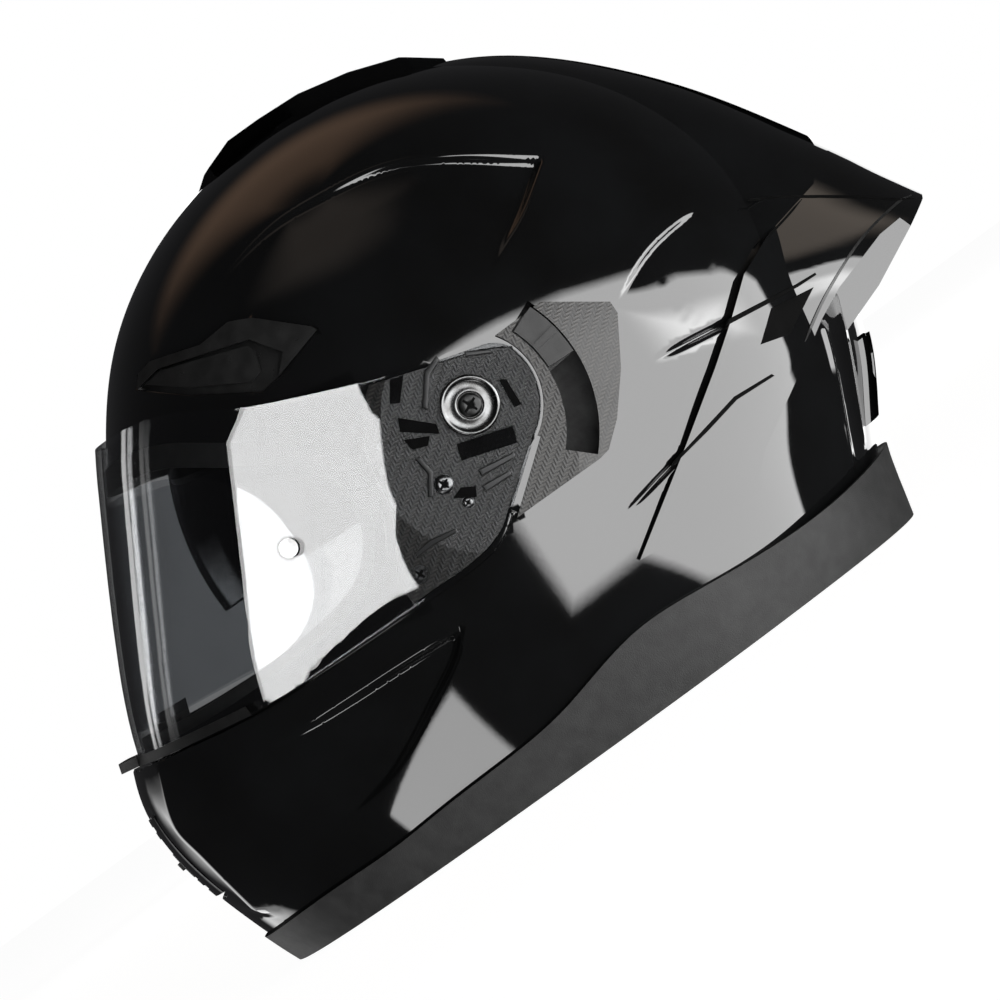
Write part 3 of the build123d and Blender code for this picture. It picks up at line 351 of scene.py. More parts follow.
class Volume:
    """Helmet-shaped volume about the pivot: a side profile that rounds off towards each side."""

    def __init__(self, profile, half_width):
        angles = np.radians([a for a, _ in profile])
        self.half_width = half_width
        radii = np.array([r for _, r in profile], float)
        # Periodic cubic spline through the profile, kept as a fine table.
        n = len(angles)
        step = np.diff(np.append(angles, angles[0] + 2 * np.pi))
        matrix, side = np.zeros((n, n)), np.zeros(n)
        for i in range(n):
            before, after = step[i - 1], step[i]
            matrix[i, i] = 2 * (before + after)
            matrix[i, i - 1] += before
            matrix[i, (i + 1) % n] += after
            slope = (radii[(i + 1) % n] - radii[i]) / after - (radii[i] - radii[i - 1]) / before
            side[i] = 6 * slope
        bend = np.linalg.solve(matrix, side)
        self.angles = np.linspace(0, 2 * np.pi, 8 * 360 + 1)
        index = np.searchsorted(angles, self.angles, "right") - 1
        t = self.angles - angles[index]
        h = step[index]
        after = (index + 1) % n
        first = (radii[after] - radii[index]) / h - h * (2 * bend[index] + bend[after]) / 6
        self.radii = radii[index] + t * first + t**2 * bend[index] / 2
        self.radii += t**3 * (bend[after] - bend[index]) / (6 * h)

    def radius(self, theta):
        return np.interp(np.mod(theta, 2 * np.pi), self.angles, self.radii)

    def lift(self, points, grow=0.0):
        """Points of the left side's surface over side-view points, and their share of the rim.

        Points beyond the rim stay in the middle plane.
        """
        points = np.asarray(points, float)
        x, z = points[:, 0] - PIVOT[0], points[:, 1] - PIVOT[2]
        share = np.hypot(x, z) / (self.radius(np.arctan2(z, x)) + grow)
        y = np.clip(1 - share**SQUARENESS, 0, 1) ** (1 / SQUARENESS) * (self.half_width + grow)
        return np.stack([points[:, 0], -y, points[:, 1]], 1), share

    def reach(self, rays, grow=0.0):
        """Distance from the pivot to the surface along unit rays."""
        flat = np.hypot(rays[:, 0], rays[:, 2])
        rim = self.radius(np.arctan2(rays[:, 2], rays[:, 0])) + grow
        total = (flat / rim) ** SQUARENESS
        total += (np.abs(rays[:, 1]) / (self.half_width + grow)) ** SQUARENESS
        return total ** (-1 / SQUARENESS)

    def normal(self, points, grow=0.0):
        p = points - PIVOT
        theta = np.arctan2(p[:, 2], p[:, 0])
        rho = np.maximum(np.hypot(p[:, 0], p[:, 2]), 1e-6)
        rim = self.radius(theta) + grow
        nudge = 0.004
        turn = (self.radius(theta + nudge) - self.radius(theta - nudge)) / (2 * nudge)
        out = rho ** (SQUARENESS - 1) / rim**SQUARENESS
        along = -out * turn / rim
        lateral = np.sign(p[:, 1]) * np.abs(p[:, 1]) ** (SQUARENESS - 1)
        lateral /= (self.half_width + grow) ** SQUARENESS
        cos, sin = np.cos(theta), np.sin(theta)
        n = np.stack([out * cos - along * sin, lateral, out * sin + along * cos], 1)
        return unit(n)


class Joined:
    """Outer surface of two volumes taken together, the first one grown by that much."""

    def __init__(self, first, second, first_grow):
        self.first, self.second, self.first_grow = first, second, first_grow

    def lift(self, points, grow=0.0):
        lifted, share = self.first.lift(points, self.first_grow + grow)
        other, other_share = self.second.lift(points, grow)
        lifted[:, 1] = np.minimum(lifted[:, 1], other[:, 1])
        return lifted, np.minimum(share, other_share)

    def reach(self, rays, grow=0.0):
        first = self.first.reach(rays, self.first_grow + grow)
        return np.maximum(first, self.second.reach(rays, grow))

    def normal(self, points, grow=0.0):
        rays = unit(points - PIVOT)
        outer = self.second.reach(rays, grow) > self.first.reach(rays, self.first_grow + grow)
        own = self.first.normal(points, self.first_grow + grow)
        return np.where(outer[:, None], self.second.normal(points, grow), own)


SHELL = Volume(SHELL_PROFILE, 124.0)
VISOR = Volume(VISOR_PROFILE, 127.6)


def chart_of(points):
    """Flat map of the left side: the ear in the middle, the middle plane on the unit circle."""
    p = points - PIVOT
    lateral = np.arctan2(-p[:, 1], np.hypot(p[:, 0], p[:, 2]))
    theta = np.arctan2(p[:, 2], p[:, 0])
    size = 1 - lateral / (np.pi / 2)
    return np.stack([size * np.cos(theta), size * np.sin(theta)], 1)


def rays_of(chart):
    size = np.hypot(chart[:, 0], chart[:, 1])
    lateral = (1 - np.minimum(size, 1.0)) * np.pi / 2
    theta = np.arctan2(chart[:, 1], chart[:, 0])
    flat = np.cos(lateral)
    return np.stack([flat * np.cos(theta), -np.sin(lateral), flat * np.sin(theta)], 1)


def fractions(a, b, step):
    """Fractions of the way from a to b, about that many millimetres apart, without the last."""
    return np.linspace(0, 1, max(2, int(np.hypot(*(b - a)) / step) + 1))[:-1]


def polygon(points, step=1.5, closed=True):
    """Side-view points every step millimetres along a straight-sided outline or open line."""
    p = np.asarray(points, float)
    ends = np.roll(p, -1, 0) if closed else p[1:]
    runs = [a + (b - a) * t for a, b in zip(p, ends) for t in fractions(a, b, step)]
    return np.array(runs if closed else [*runs, p[-1]])


def curve(points, step=1.5):
    """Side-view points every step millimetres along a smooth open line."""
    p = np.asarray(points, float)
    if len(p) < 3:
        return polygon(p, step, closed=False)
    q = np.vstack([2 * p[0] - p[1], p, 2 * p[-1] - p[-2]])
    made = []
    for i in range(1, len(q) - 2):
        a, b, c, d = q[i - 1:i + 3]
        square, cube = 2 * a - 5 * b + 4 * c - d, 3 * b - a - 3 * c + d
        for t in fractions(b, c, step):
            made.append(0.5 * (2 * b + (c - a) * t + square * t**2 + cube * t**3))
    return np.array([*made, p[-1]])


def to_chart(volume, points, grow=0.0):
    lifted, share = volume.lift(points, grow)
    chart = chart_of(lifted)
    beyond = share > 1
    chart[beyond] *= share[beyond, None]
    return chart


class Line:
    """A line on a skin, carried on straight beyond its ends by that many millimetres."""

    def __init__(self, volume, points, beyond=0.0):
        flat = curve(points, 1.0)
        if beyond:
            steps = np.arange(1.0, beyond)[:, None]
            before = flat[0] + unit(flat[:1] - flat[3]) * steps
            after = flat[-1] + unit(flat[-1:] - flat[-4]) * steps
            flat = np.vstack([before[::-1], flat, after])
        self.points, _ = volume.lift(flat)
        self.tangent = np.gradient(self.points, axis=0)
        self.step = np.linalg.norm(self.tangent, axis=1)
        self.tangent /= self.step[:, None]
        self.side = np.cross(self.tangent, volume.normal(self.points))

    def distance(self, p):
        """Distance, positive on the line's right, and place along it as a share of its points."""
        away = (p**2).sum(1)[:, None] - 2 * p @ self.points.T + (self.points**2).sum(1)[None]
        nearest = away.argmin(1)
        gap = p - self.points[nearest]
        along = (gap * self.tangent[nearest]).sum(1)
        inner = (nearest > 0) & (nearest < len(self.points) - 1)
        across = (gap * self.side[nearest]).sum(1)
        distance = np.sqrt(np.maximum((gap**2).sum(1) - np.where(inner, along**2, 0), 0))
        place = nearest + np.where(inner, along / self.step[nearest], 0)
        return distance * np.where(across < 0, -1, 1), place / (len(self.points) - 1)

    def rows(self, width):
        offsets = np.array([-2.0, -1.2, -0.6, 0.0, 0.6, 1.2, 2.0]) * width
        return np.vstack([self.points + self.side * o for o in offsets])


def parts_of(chosen):
    """The chosen points' indices, split so that each table of distances stays small."""
    found = np.where(chosen)[0]
    return np.array_split(found, max(1, len(found) // 4000))


class Crease:
    """A line pressed into a skin: a groove, a ridge, or a ledge sunk on the line's right.

    It fades out over three times the fade sideways, and over those fractions of it at its ends.
    """

    def __init__(self, volume, points, kind, height, width, fade, ends):
        self.kind, self.height, self.width, self.fade, self.ends = kind, height, width, fade, ends
        self.line = Line(volume, points)

    def rows(self):
        return self.line.rows(self.width)

    def height_at(self, points):
        made = np.zeros(len(points))
        reach = 3 * self.fade + 4 * self.width
        low, high = self.line.points.min(0) - reach, self.line.points.max(0) + reach
        for part in parts_of(((points > low) & (points < high)).all(1)):
            distance, place = self.line.distance(points[part])
            if self.kind == "groove":
                shape = -np.exp(-((distance / self.width) ** 2))
            elif self.kind == "ledge":
                sunk = smooth_step((distance + self.width / 2) / self.width)
                far = np.maximum(distance, 0)
                shape = -sunk * np.clip(1 - far / (3 * self.fade), 0, 1) ** 3
            else:
                far = np.sqrt(distance**2 + 0.15 * self.width**2)
                shape = np.clip(1 - far / (3 * self.fade), 0, 1) ** 3
            first, last = self.ends
            strength = smooth_step(place / first) * smooth_step((1 - place) / last)
            made[part] = self.height * strength * shape
        return made


class Pocket:
    """A scallop sunk between two arms that meet at a corner, fading out away from that corner.

    It also fades out over that depth away from its first arm, where a depth is given.
    """

    def __init__(self, volume, first, second, height, width, length, depth=0.0):
        self.arms = [Line(volume, arm, beyond=40) for arm in (first, second)]
        self.seen = [Line(volume, arm) for arm in (first, second)]
        self.corner = volume.lift([first[-1]])[0][0]
        self.height, self.width, self.length, self.depth = height, width, length, depth

    def rows(self):
        return np.vstack([line.rows(self.width / 1.6) for line in self.seen])

    def height_at(self, points):
        made = np.zeros(len(points))
        far = np.linalg.norm(points - self.corner, axis=1)
        for part in parts_of(far < self.length):
            shape = 1 - smooth_step(far[part] / self.length)
            gaps = [arm.distance(points[part])[0] for arm in self.arms]
            for gap in gaps:
                shape = shape * smooth_step((gap + self.width / 2) / self.width)
            if self.depth:
                shape = shape * smooth_step(1.4 * (1 - gaps[0] / self.depth))
            made[part] = -self.height * shape
        return made


def inside(points, outline):
    """Even-odd test of flat points against a closed outline."""
    found = np.zeros(len(points), bool)
    for a, b in zip(outline, np.roll(outline, -1, 0)):
        if a[1] == b[1]:
            continue
        crosses = (a[1] > points[:, 1]) != (b[1] > points[:, 1])
        slope = (b[0] - a[0]) / (b[1] - a[1])
        found ^= crosses & (points[:, 0] < slope * (points[:, 1] - a[1]) + a[0])
    return found


CHART_RADIUS = 210  # millimetres of skin from the ear to the middle plane, roughly
SKIN_RADIUS = 165  # mean distance of the skin's middle section from the pivot, mm


def lattice(spacing):
    """Points over the whole chart, about that far apart on the shell."""
    made = []
    rings = int(CHART_RADIUS / spacing)
    for i in range(1, rings):
        size = i / rings
        around = 2 * np.pi * SKIN_RADIUS * math.sin(size * np.pi / 2)
        count = max(6, int(around / spacing))
        theta = (np.arange(count) + 0.5 * (i % 2)) * 2 * np.pi / count
        made.append(np.stack([size * np.cos(theta), size * np.sin(theta)], 1))
    return np.vstack(made)


EDGE_ROWS = (0.3, 0.7, 1.1)  # where rows of points lie across a rounded rim, in radii
EDGE_REACH = 150  # mean distance of those outlines from the pivot, mm
RIM_LENGTH = 1060  # of the skin's middle section, mm
PROBE = 0.12  # half the distance over which a crease's slope is taken, mm


def rows_beside(outline, edge):
    """Chart points beside an outline, so that its rounded rim has enough of them."""
    rays = rays_of(outline)
    surface = rays * EDGE_REACH
    across = np.cross(unit(np.roll(surface, -1, 0) - np.roll(surface, 1, 0)), rays)
    return [chart_of(surface + across * way * share * edge + PIVOT)
            for share in EDGE_ROWS for way in (-1, 1)]


def triangulate(outlines, rows, spacing, edge):
    """Constrained triangles over the chart: its points, and three of them for each triangle."""
    rim = np.linspace(0, 2 * np.pi, int(RIM_LENGTH / spacing) + 1)[:-1]
    fixed, edges, total = [np.stack([np.cos(rim), np.sin(rim)], 1), *outlines], [], 0
    for outline in fixed:
        count = len(outline)
        edges += [(total + i, total + (i + 1) % count) for i in range(count)]
        total += count
    fixed = np.vstack(fixed)
    free = np.vstack([*rows, lattice(spacing)])
    free = free[np.hypot(*free.T) < 1 - 0.2 * spacing / CHART_RADIUS]
    tree = KDTree(total)
    for i, (u, v) in enumerate(fixed):
        tree.insert((u, v, 0), i)
    tree.balance()
    # Rows may come closer to an outline than the lattice does.
    row_gap = 0.25 * edge if edge else 0.3
    gaps = np.full(len(free), 0.5 * spacing)
    gaps[:sum(len(r) for r in rows)] = row_gap
    free = [p for p, gap in zip(free, gaps / CHART_RADIUS) if tree.find((*p, 0))[2] > gap]
    points = [Vector(p) for p in np.vstack([fixed, free])]
    verts, _, faces, _, _, _ = delaunay_2d_cdt(points, edges, [], 0, 1e-7)
    return np.array([tuple(v) for v in verts]), np.array([f for f in faces if len(f) == 3])


def rim_lean(rays, base, outlines, edge):
    """How far each point leans over the rounded rim, 0 to 1, and the way away from the rim."""
    size = np.linalg.norm(base - PIVOT, axis=1)
    distances, ways = [], []
    for outline in outlines:
        rim = rays_of(outline)
        nearest = (rays @ rim.T).argmax(1)
        gap = base - PIVOT - rim[nearest] * size[:, None]
        along = unit(rim[(nearest + 1) % len(outline)] - rim[nearest - 1])
        flat = gap - (gap * along).sum(1)[:, None] * along
        real = np.hypot(*outline[nearest].T) <= 1.0
        distances.append(np.where(real, np.linalg.norm(flat, axis=1), 99.0))
        ways.append(flat)
    which = np.argmin(distances, axis=0)
    away = unit(np.stack(ways)[which, np.arange(len(base))], 1e-6)
    return np.clip(1 - np.min(distances, axis=0) / edge, 0, 1), away


def skin(name, volume, finish, keep=(), keep_any=(), cut=(), flat_cut=(), left_cut=(),
         grow=0.0, thickness=4.0, creases=(), spacing=3.0, edge=0.0, reach=None):
    """A wall of that thickness under a volume's surface, on both sides of the helmet.

    It lies inside the keep outlines, inside any one of the keep_any ones, and outside the cut
    ones.  Outlines are side-view points, already sampled, and flat_cut ones are chart points.
    edge is the radius that its rim is rounded to.
    """
    def charted(outlines):
        return [to_chart(volume, outline, grow) for outline in outlines]

    keep, either, left_cut = charted(keep), charted(keep_any), charted(left_cut)
    cut = charted(cut) + list(flat_cut)
    bounds = keep + either + cut
    rows = [chart_of(c.rows()) for c in creases]
    if edge:
        for outline in bounds:
            rows += rows_beside(outline, edge)
    chart, triangles = triangulate(bounds + left_cut, rows, spacing, edge)
    middle = chart[triangles].mean(1)
    wanted = np.hypot(*middle.T) < 1 + 1e-6
    for outline in keep:
        wanted &= inside(middle, outline)
    for outline in cut:
        wanted &= ~inside(middle, outline)
    if either:
        wanted &= np.any([inside(middle, outline) for outline in either], axis=0)
    right_only = np.zeros(len(triangles), bool)
    for outline in left_cut:
        right_only |= inside(middle, outline)
    triangles, right_only = triangles[wanted], right_only[wanted]
    used, triangles = np.unique(triangles, return_inverse=True)
    chart, triangles = chart[used], triangles.reshape(-1, 3)
    on_rim = np.hypot(*chart.T) > 1 - 1e-5
    rays = rays_of(chart)
    rays[on_rim, 1] = 0.0
    distance = reach(rays) if reach else volume.reach(rays, grow)
    base = rays * distance[:, None] + PIVOT
    facing = volume.normal(base, grow)
    facing[on_rim, 1] = 0.0

    def raised(points):
        return sum((c.height_at(points) for c in creases), np.zeros(len(points)))

    outer = base + facing * raised(base)[:, None]
    shading = facing.copy()
    if creases:
        tangent = unit(np.cross(facing, (0.0, 1.0, 0.0)), 1e-6)
        for way in (tangent, np.cross(facing, tangent)):
            rise = (raised(base + PROBE * way) - raised(base - PROBE * way)) / (2 * PROBE)
            shading -= way * rise[:, None]
    if edge:
        lean, away = rim_lean(rays, base, bounds, edge)
        outer -= facing * (edge * (1 - np.sqrt(1 - np.minimum(lean, 0.97) ** 2)))[:, None]
        lean = np.minimum(lean, 0.9)
        shading -= away * (lean / np.sqrt(1 - lean**2))[:, None]
    shading[on_rim, 1] = 0.0
    under = base - facing * thickness
    made = wall(name, outer, under, unit(shading), facing, triangles, on_rim, right_only)
    made.data.materials.append(MATERIALS[finish])
    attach(made, "shell")
    return made


def wall(name, outer, under, shading, facing, triangles, on_rim, right_only):
    """Object of a wall from its two faces on the left, mirrored and joined in the middle plane."""
    n = len(outer)
    a, b, c = (outer[triangles[:, i]] for i in range(3))
    wrong = (np.cross(b - a, c - a) * facing[triangles[:, 0]]).sum(1) < 0
    triangles[wrong] = triangles[wrong][:, ::-1]
    merge = np.arange(2 * n)
    merge[n:][on_rim] = np.arange(n)[on_rim]
    faces = merge[np.vstack([triangles[~right_only], triangles[:, ::-1] + n])]
    used, faces = np.unique(faces, return_inverse=True)
    faces = faces.reshape(-1, 3)
    flip = np.array([1.0, -1.0, 1.0])
    outer, under, shading, facing = (
        np.vstack([v, v * flip])[used] for v in (outer, under, shading, facing))
    m = len(outer)
    directed = np.vstack([faces[:, [0, 1]], faces[:, [1, 2]], faces[:, [2, 0]]])
    keys = directed[:, 0] * m + directed[:, 1]
    back = directed[:, 1] * m + directed[:, 0]
    start, end = directed[~np.isin(keys, back)].T
    quads = np.stack([end, start, start + m, end + m], 1)
    points = np.vstack([outer, under])
    polygons = [*faces.tolist(), *(faces[:, ::-1] + m).tolist(), *quads.tolist()]
    mesh = bpy.data.meshes.new(name)
    mesh.from_pydata((points * MM).tolist(), [], polygons)
    shade_smooth(mesh)
    # The rim's quads are smooth along it, except where it turns sharply.
    first, second, _, last = np.moveaxis(points[quads], 1, 0)
    side = unit(np.cross(second - first, last - first))
    total = np.zeros((2 * m, 3))
    for corner in range(4):
        np.add.at(total, quads[:, corner], side)
    mean = unit(total)[quads]
    turned_little = (mean * side[:, None]).sum(2, keepdims=True) > 0.8
    corners = np.where(turned_little, mean, side[:, None])
    loops = [shading[faces], -facing[faces[:, ::-1]], corners]
    mesh.normals_split_custom_set(np.vstack([part.reshape(-1, 3) for part in loops]).tolist())
    return add_object(name, mesh)


# ---------------------------------------------------------------- side outlines, as in the CAD
EAR_RADIUS = 24.2
SUN_AXIS = (-7.0, 120.0)
EYEPORT = [
    (-230, 188), (-150, 182), (-118, 178.5), (-102, 176), (-90, 171), (-80, 164), (-69, 156),
    (-52, 143), (-44, 131), (-43, 118), (-48, 105), (-58, 95), (-79, 89), (-119, 88),
    (-150, 91), (-170, 95), (-230, 106),
]
VISOR_BOTTOM = [
    (-4.2, 86), (-12, 81), (-23.2, 78.4), (-45.4, 78.3), (-86, 79.4), (-118.3, 81.7),
    (-153, 87.6), (-170, 91), (-230, 102),
]
VENT_BASE = [
    (-85.5, 196.5), (-82, 200.7), (-76, 201.6), (-58, 195), (-45.5, 195.5), (-38, 191.7),
    (-23, 176.7), (-22, 174.6), (-42, 169.5), (-49.5, 168.6), (-71, 183),
]


def arc(radius, start, end, centre=(PIVOT[0], PIVOT[2]), step=4.0):
    """Side-view points along an arc, angles and step in degrees."""
    angles = np.radians(np.linspace(start, end, max(2, int(abs(end - start) / step) + 1)))
    return centre + radius * np.stack([np.cos(angles), np.sin(angles)], 1)


def band_outline(volume, low, high, half):
    """Chart outline of the front of a skin between two heights and within |Y| = half."""
    count, halvings = 16, 40
    z = np.linspace(low, high, count)
    near, far = np.full(count, -40.0), np.full(count, -230.0)
    for _ in range(halvings):
        x = (near + far) / 2
        _, share = volume.lift(np.stack([x, z], 1))
        beyond = share**SQUARENESS + (half / volume.half_width) ** SQUARENESS > 1
        near, far = np.where(beyond, near, x), np.where(beyond, x, far)
    edge = chart_of(np.stack([x, np.full(count, -half), z], 1))
    last, first = (
        [end / np.hypot(*end) * size for size in np.linspace(np.hypot(*end), 1.03, 8)[1:]]
        for end in (edge[-1], edge[0]))
    return np.vstack([edge, last, first[::-1]])


BASE_PLATE = np.vstack([
    curve([(-19, 148.6), (18, 136.4)])[:-1],
    curve([(18, 136.4), (24, 133.4)])[:-1],
    arc(EAR_RADIUS - 0.6, 20, -60),
    curve([(-5, 87), (-12, 82.3), (-23, 79.6), (-50, 79.6)]),
    curve([(-50, 79.6), (-48.5, 91), (-38, 108), (-35, 122), (-31, 134), (-19, 148.6)])[1:-1],
])
VISOR_STEP = np.vstack([
    curve([(x, z - 1.2) for x, z in VISOR_BOTTOM]),
    curve([(-230, 150), (-30, 118)]),
])
BELOW_RIM = polygon([(-260, 3), (260, 3), (260, -220), (-260, -220)], 3)
KNOB_SLOT = np.vstack([arc(52.8, 22.5, -45, SUN_AXIS), arc(40.0, -45, 22.5, SUN_AXIS)])

# ---------------------------------------------------------------- shell
TEMPLE_TOP = [
    (-60, 199), (-56.7, 203.2), (-40.2, 208.8), (-15.7, 213.3), (4.6, 212), (28.5, 207.5),
    (50, 196.5), (74.5, 178),
]
TEMPLE_BACK = [(74.5, 178), (58.7, 167), (45.6, 160.1), (35.6, 153.7), (27, 146.5)]
COVER_LEDGE = [(64.5, 121), (76, 126.3), (87.4, 130.2), (99.5, 131.8), (112, 132)]
CHEEK_TOP = [
    (-140, 70.5), (-122, 68.2), (-103.8, 66.2), (-86, 65), (-68.6, 64.1), (-43.4, 62.4),
]
CHEEK_BACK = [
    (-43.4, 62.4), (-50.4, 55.8), (-66, 47.7), (-81.2, 40.3), (-94.4, 35.6), (-116.8, 32.2),
]
CHIN_CORNER = [(-153, 90), (-158, 80), (-163.9, 65.1), (-162, 49.6), (-158.1, 18.9)]
# Notches that run on across the seam into the wing.
UPPER_NOTCH = [(64, 98.4), (80, 96.3), (96, 93.8)]
LOWER_NOTCH = [(24, 61.4), (48, 65.8), (56, 66.4)]
BACK_RIBS = [(121.8, 77.1), (115.5, 60.5), (98.9, 25)], [(134, 84.1), (121.2, 56.7), (107.8, 28.8)]
SHELL_CREASES = [
    Pocket(SHELL, TEMPLE_TOP, TEMPLE_BACK, 3.4, 3.0, 150, depth=52),
    Crease(SHELL, COVER_LEDGE, "ledge", 1.3, 2.4, 20, ends=(0.45, 0.3)),
    Pocket(SHELL, CHEEK_TOP, CHEEK_BACK, 3.2, 2.6, 96),
    Crease(SHELL, CHIN_CORNER, "ridge", 2.4, 2.0, 12, ends=(0.1, 0.1)),
    Crease(SHELL, UPPER_NOTCH, "groove", 1.5, 1.1, 3, ends=(0.6, 0.01)),
    Crease(SHELL, LOWER_NOTCH, "groove", 1.2, 0.9, 3, ends=(0.6, 0.01)),
    Crease(SHELL, BACK_RIBS[0], "ridge", 1.6, 1.0, 3.5, ends=(0.1, 0.1)),
    Crease(SHELL, BACK_RIBS[1], "ridge", 1.2, 1.0, 3.0, ends=(0.1, 0.1)),
]
shell_skin = skin(
    "shell_skin", SHELL, "shell",
    cut=[BELOW_RIM, curve(EYEPORT), BASE_PLATE, polygon(VENT_BASE), VISOR_STEP],
    flat_cut=[band_outline(SHELL, 36, 72, 36)], left_cut=[KNOB_SLOT],
    creases=SHELL_CREASES, edge=0.4,
)
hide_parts("outer_shell")

VISOR_GAP = -3.0
skin(
    "chin_sill", VISOR, "shell", keep=[VISOR_STEP], cut=[curve(EYEPORT), BASE_PLATE],
    grow=VISOR_GAP, thickness=4.5, edge=0.5,
    reach=lambda rays: np.minimum(SHELL.reach(rays, -0.05), VISOR.reach(rays, VISOR_GAP)),
)

# ---------------------------------------------------------------- rear wing details
SPOILER_PROFILE = [
    (0, 160.6), (10, 147.8), (20, 139.5), (30, 133.6), (40, 130), (50, 127.6), (62, 124.5),
    (80, 119), (120, 112), (180, 108), (240, 108), (290, 115), (315, 150), (330, 182), (345, 190),
    (354, 171),
]
WING = Volume(SPOILER_PROFILE, 98.0)
WING_SKIN = Joined(SHELL, WING, 3.2)
SHADE_AND_WELT_RISE = 0.22
NOTCHES = {
    "upper": [(92, 93.6), (108, 91.4), (121.9, 89.9), (129.3, 89.6), (129.3, 90.5), (121, 91.2),
              (94.5, 95.0)],
    "lower": [(48, 65.5), (66, 68.2), (80.3, 70.9), (96, 69.9), (95.5, 71.0), (80, 72.4),
              (50, 66.7)],
    "facet": [(109, 89.4), (125.9, 86.7), (109.2, 78.3), (98.4, 81.4)],
}
# Notches and the facet: near-black, barely reflective sheets laid just above the wing, as painted
# shade.
for notch, outline in NOTCHES.items():
    skin(f"wing_{notch}_shade_sheet", WING_SKIN, "seam", keep=[polygon(outline, 1.2)],
         grow=SHADE_AND_WELT_RISE, thickness=1.2, edge=0.3)


def strip(points, half):
    """Outline of a narrow strip along a side-view line, pointed at its ends."""
    line = curve(points)
    along = unit(np.gradient(line, axis=0))
    across = np.stack([-along[:, 1], along[:, 0]], 1) * half
    place = np.arange(len(line))
    across *= np.minimum(1, np.minimum(place, place[::-1])[:, None] / 4 + 0.25)
    return np.vstack([line + across, (line - across)[::-1]])


SEAMS = [
    strip([(126, 124.6), (135, 119.5), (143, 114.2), (156, 105.2), (168.7, 95.4), (176, 91)], 0.45),
    strip([(141.6, 114), (132, 111.8), (121.8, 110)], 0.4),
]
WELTS = [strip([(176, 92.6), (168.7, 93.3), (149.6, 90.4), (128.8, 82.4), (112, 73.2)], 0.45)]
# Seams: near-black, barely reflective strips laid on the wing, as painted shade of the gaps between
# panels. Welts: raised satin strips.
for label, lines, finish in (("seams", SEAMS, "seam"), ("welts", WELTS, "satin")):
    skin(f"wing_{label}", WING_SKIN, finish, keep_any=lines, grow=SHADE_AND_WELT_RISE,
         thickness=1.0, spacing=4.0)

# ---------------------------------------------------------------- visor mechanism
PLATE_FACE = 0.6  # base plate's face above the shell's surface, mm
POCKETS = [
    [(-17.4, 133.9), (-8.1, 124.6), (-9.0, 121.1), (-19.6, 129.6)],
    [(-20.1, 126.6), (-12.2, 122.5), (-14.7, 120.2), (-19.9, 122.3)],
    [(-12.0, 146.0), (-7.3, 144.6), (-13.8, 137.6), (-16.8, 139.3)],
    [(-14.0, 102.2), (-9.6, 99.6), (-11.4, 96.3), (-18.2, 100.7)],
    [(18.0, 124.0), (20.2, 123.0), (19.4, 113.0), (16.8, 113.6)],
]
RIBS = [
    [(-1.0, 141.3), (5.5, 143.3), (5.8, 141.4), (-0.2, 139.0), (-7.5, 130.1), (-8.8, 131.8)],
    [(-21, 119.3), (-19, 118.7), (-18.6, 112), (-23.4, 104.9), (-24.9, 106), (-20.3, 112.6)],
    [(-5.8, 103.6), (7.7, 101.3), (7.3, 99.5), (-5.9, 101.1)],
    [(-7.9, 98.4), (3.0, 97.2), (2.6, 95.4), (-8.0, 95.9)],
    [(-40.0, 93.4), (-33.0, 93.9), (-23.4, 92.0), (-23.7, 90.5), (-32.9, 91.7), (-40.1, 91.4)],
    [(14.0, 139.0), (21.4, 134.6), (22.0, 132.6), (13.4, 137.2)],
]


LATCH_ROOM = [(-6.5, 115.0), (12.5, 108.8), (10.6, 103.2), (-8.4, 109.4)]
# Pockets and the latch's recess: near-black, barely reflective sheets as painted shade; the latch's
# sheet lies below the plate's face, so it shows only inside the recess.
for name, shapes, finish, rise, thickness, edge in (
    ("mechanism_pockets", POCKETS, "seam", 0.12, 0.9, 0.1),
    ("latch_floor", [LATCH_ROOM], "seam", -1.25, 0.4, 0.0),
    ("mechanism_ribs", RIBS, "satin", 0.8, 1.4, 0.45),
):
    skin(name, SHELL, finish, keep_any=[polygon(shape, 0.8) for shape in shapes],
         grow=PLATE_FACE + rise, thickness=thickness, spacing=5.0, edge=edge)


def closed_mesh(name, points, faces, smooth=True):
    """Mesh from points in millimetres."""
    mesh = bpy.data.meshes.new(name)
    mesh.from_pydata((np.array(points) * MM).tolist(), [], faces)
    mesh.validate()
    if smooth:
        shade_smooth(mesh)
    return mesh


def hardware(name, mesh, finish, slot):
    """Small part that is fixed to the shell."""
    made = add_object(name, mesh)
    mesh.materials.append(MATERIALS[finish])
    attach(made, "shell")
    return made


def turned(name, centre, sign, profile, finish, slot):
    """Round part about an axis along Y: closed profile of (radius, |Y|) in millimetres."""
    segments, n = 72, len(profile)
    points, faces = [], []
    for i in range(segments):
        a = 2 * math.pi * i / segments
        for radius, y in profile:
            points.append(
                (centre[0] + radius * math.cos(a), sign * y, centre[1] + radius * math.sin(a)))
        for j in range(n):
            b, k = (i + 1) % segments, (j + 1) % n
            faces.append((i * n + j, b * n + j, b * n + k, i * n + k)[::-sign])
    return hardware(name, closed_mesh(name, points, faces), finish, slot)


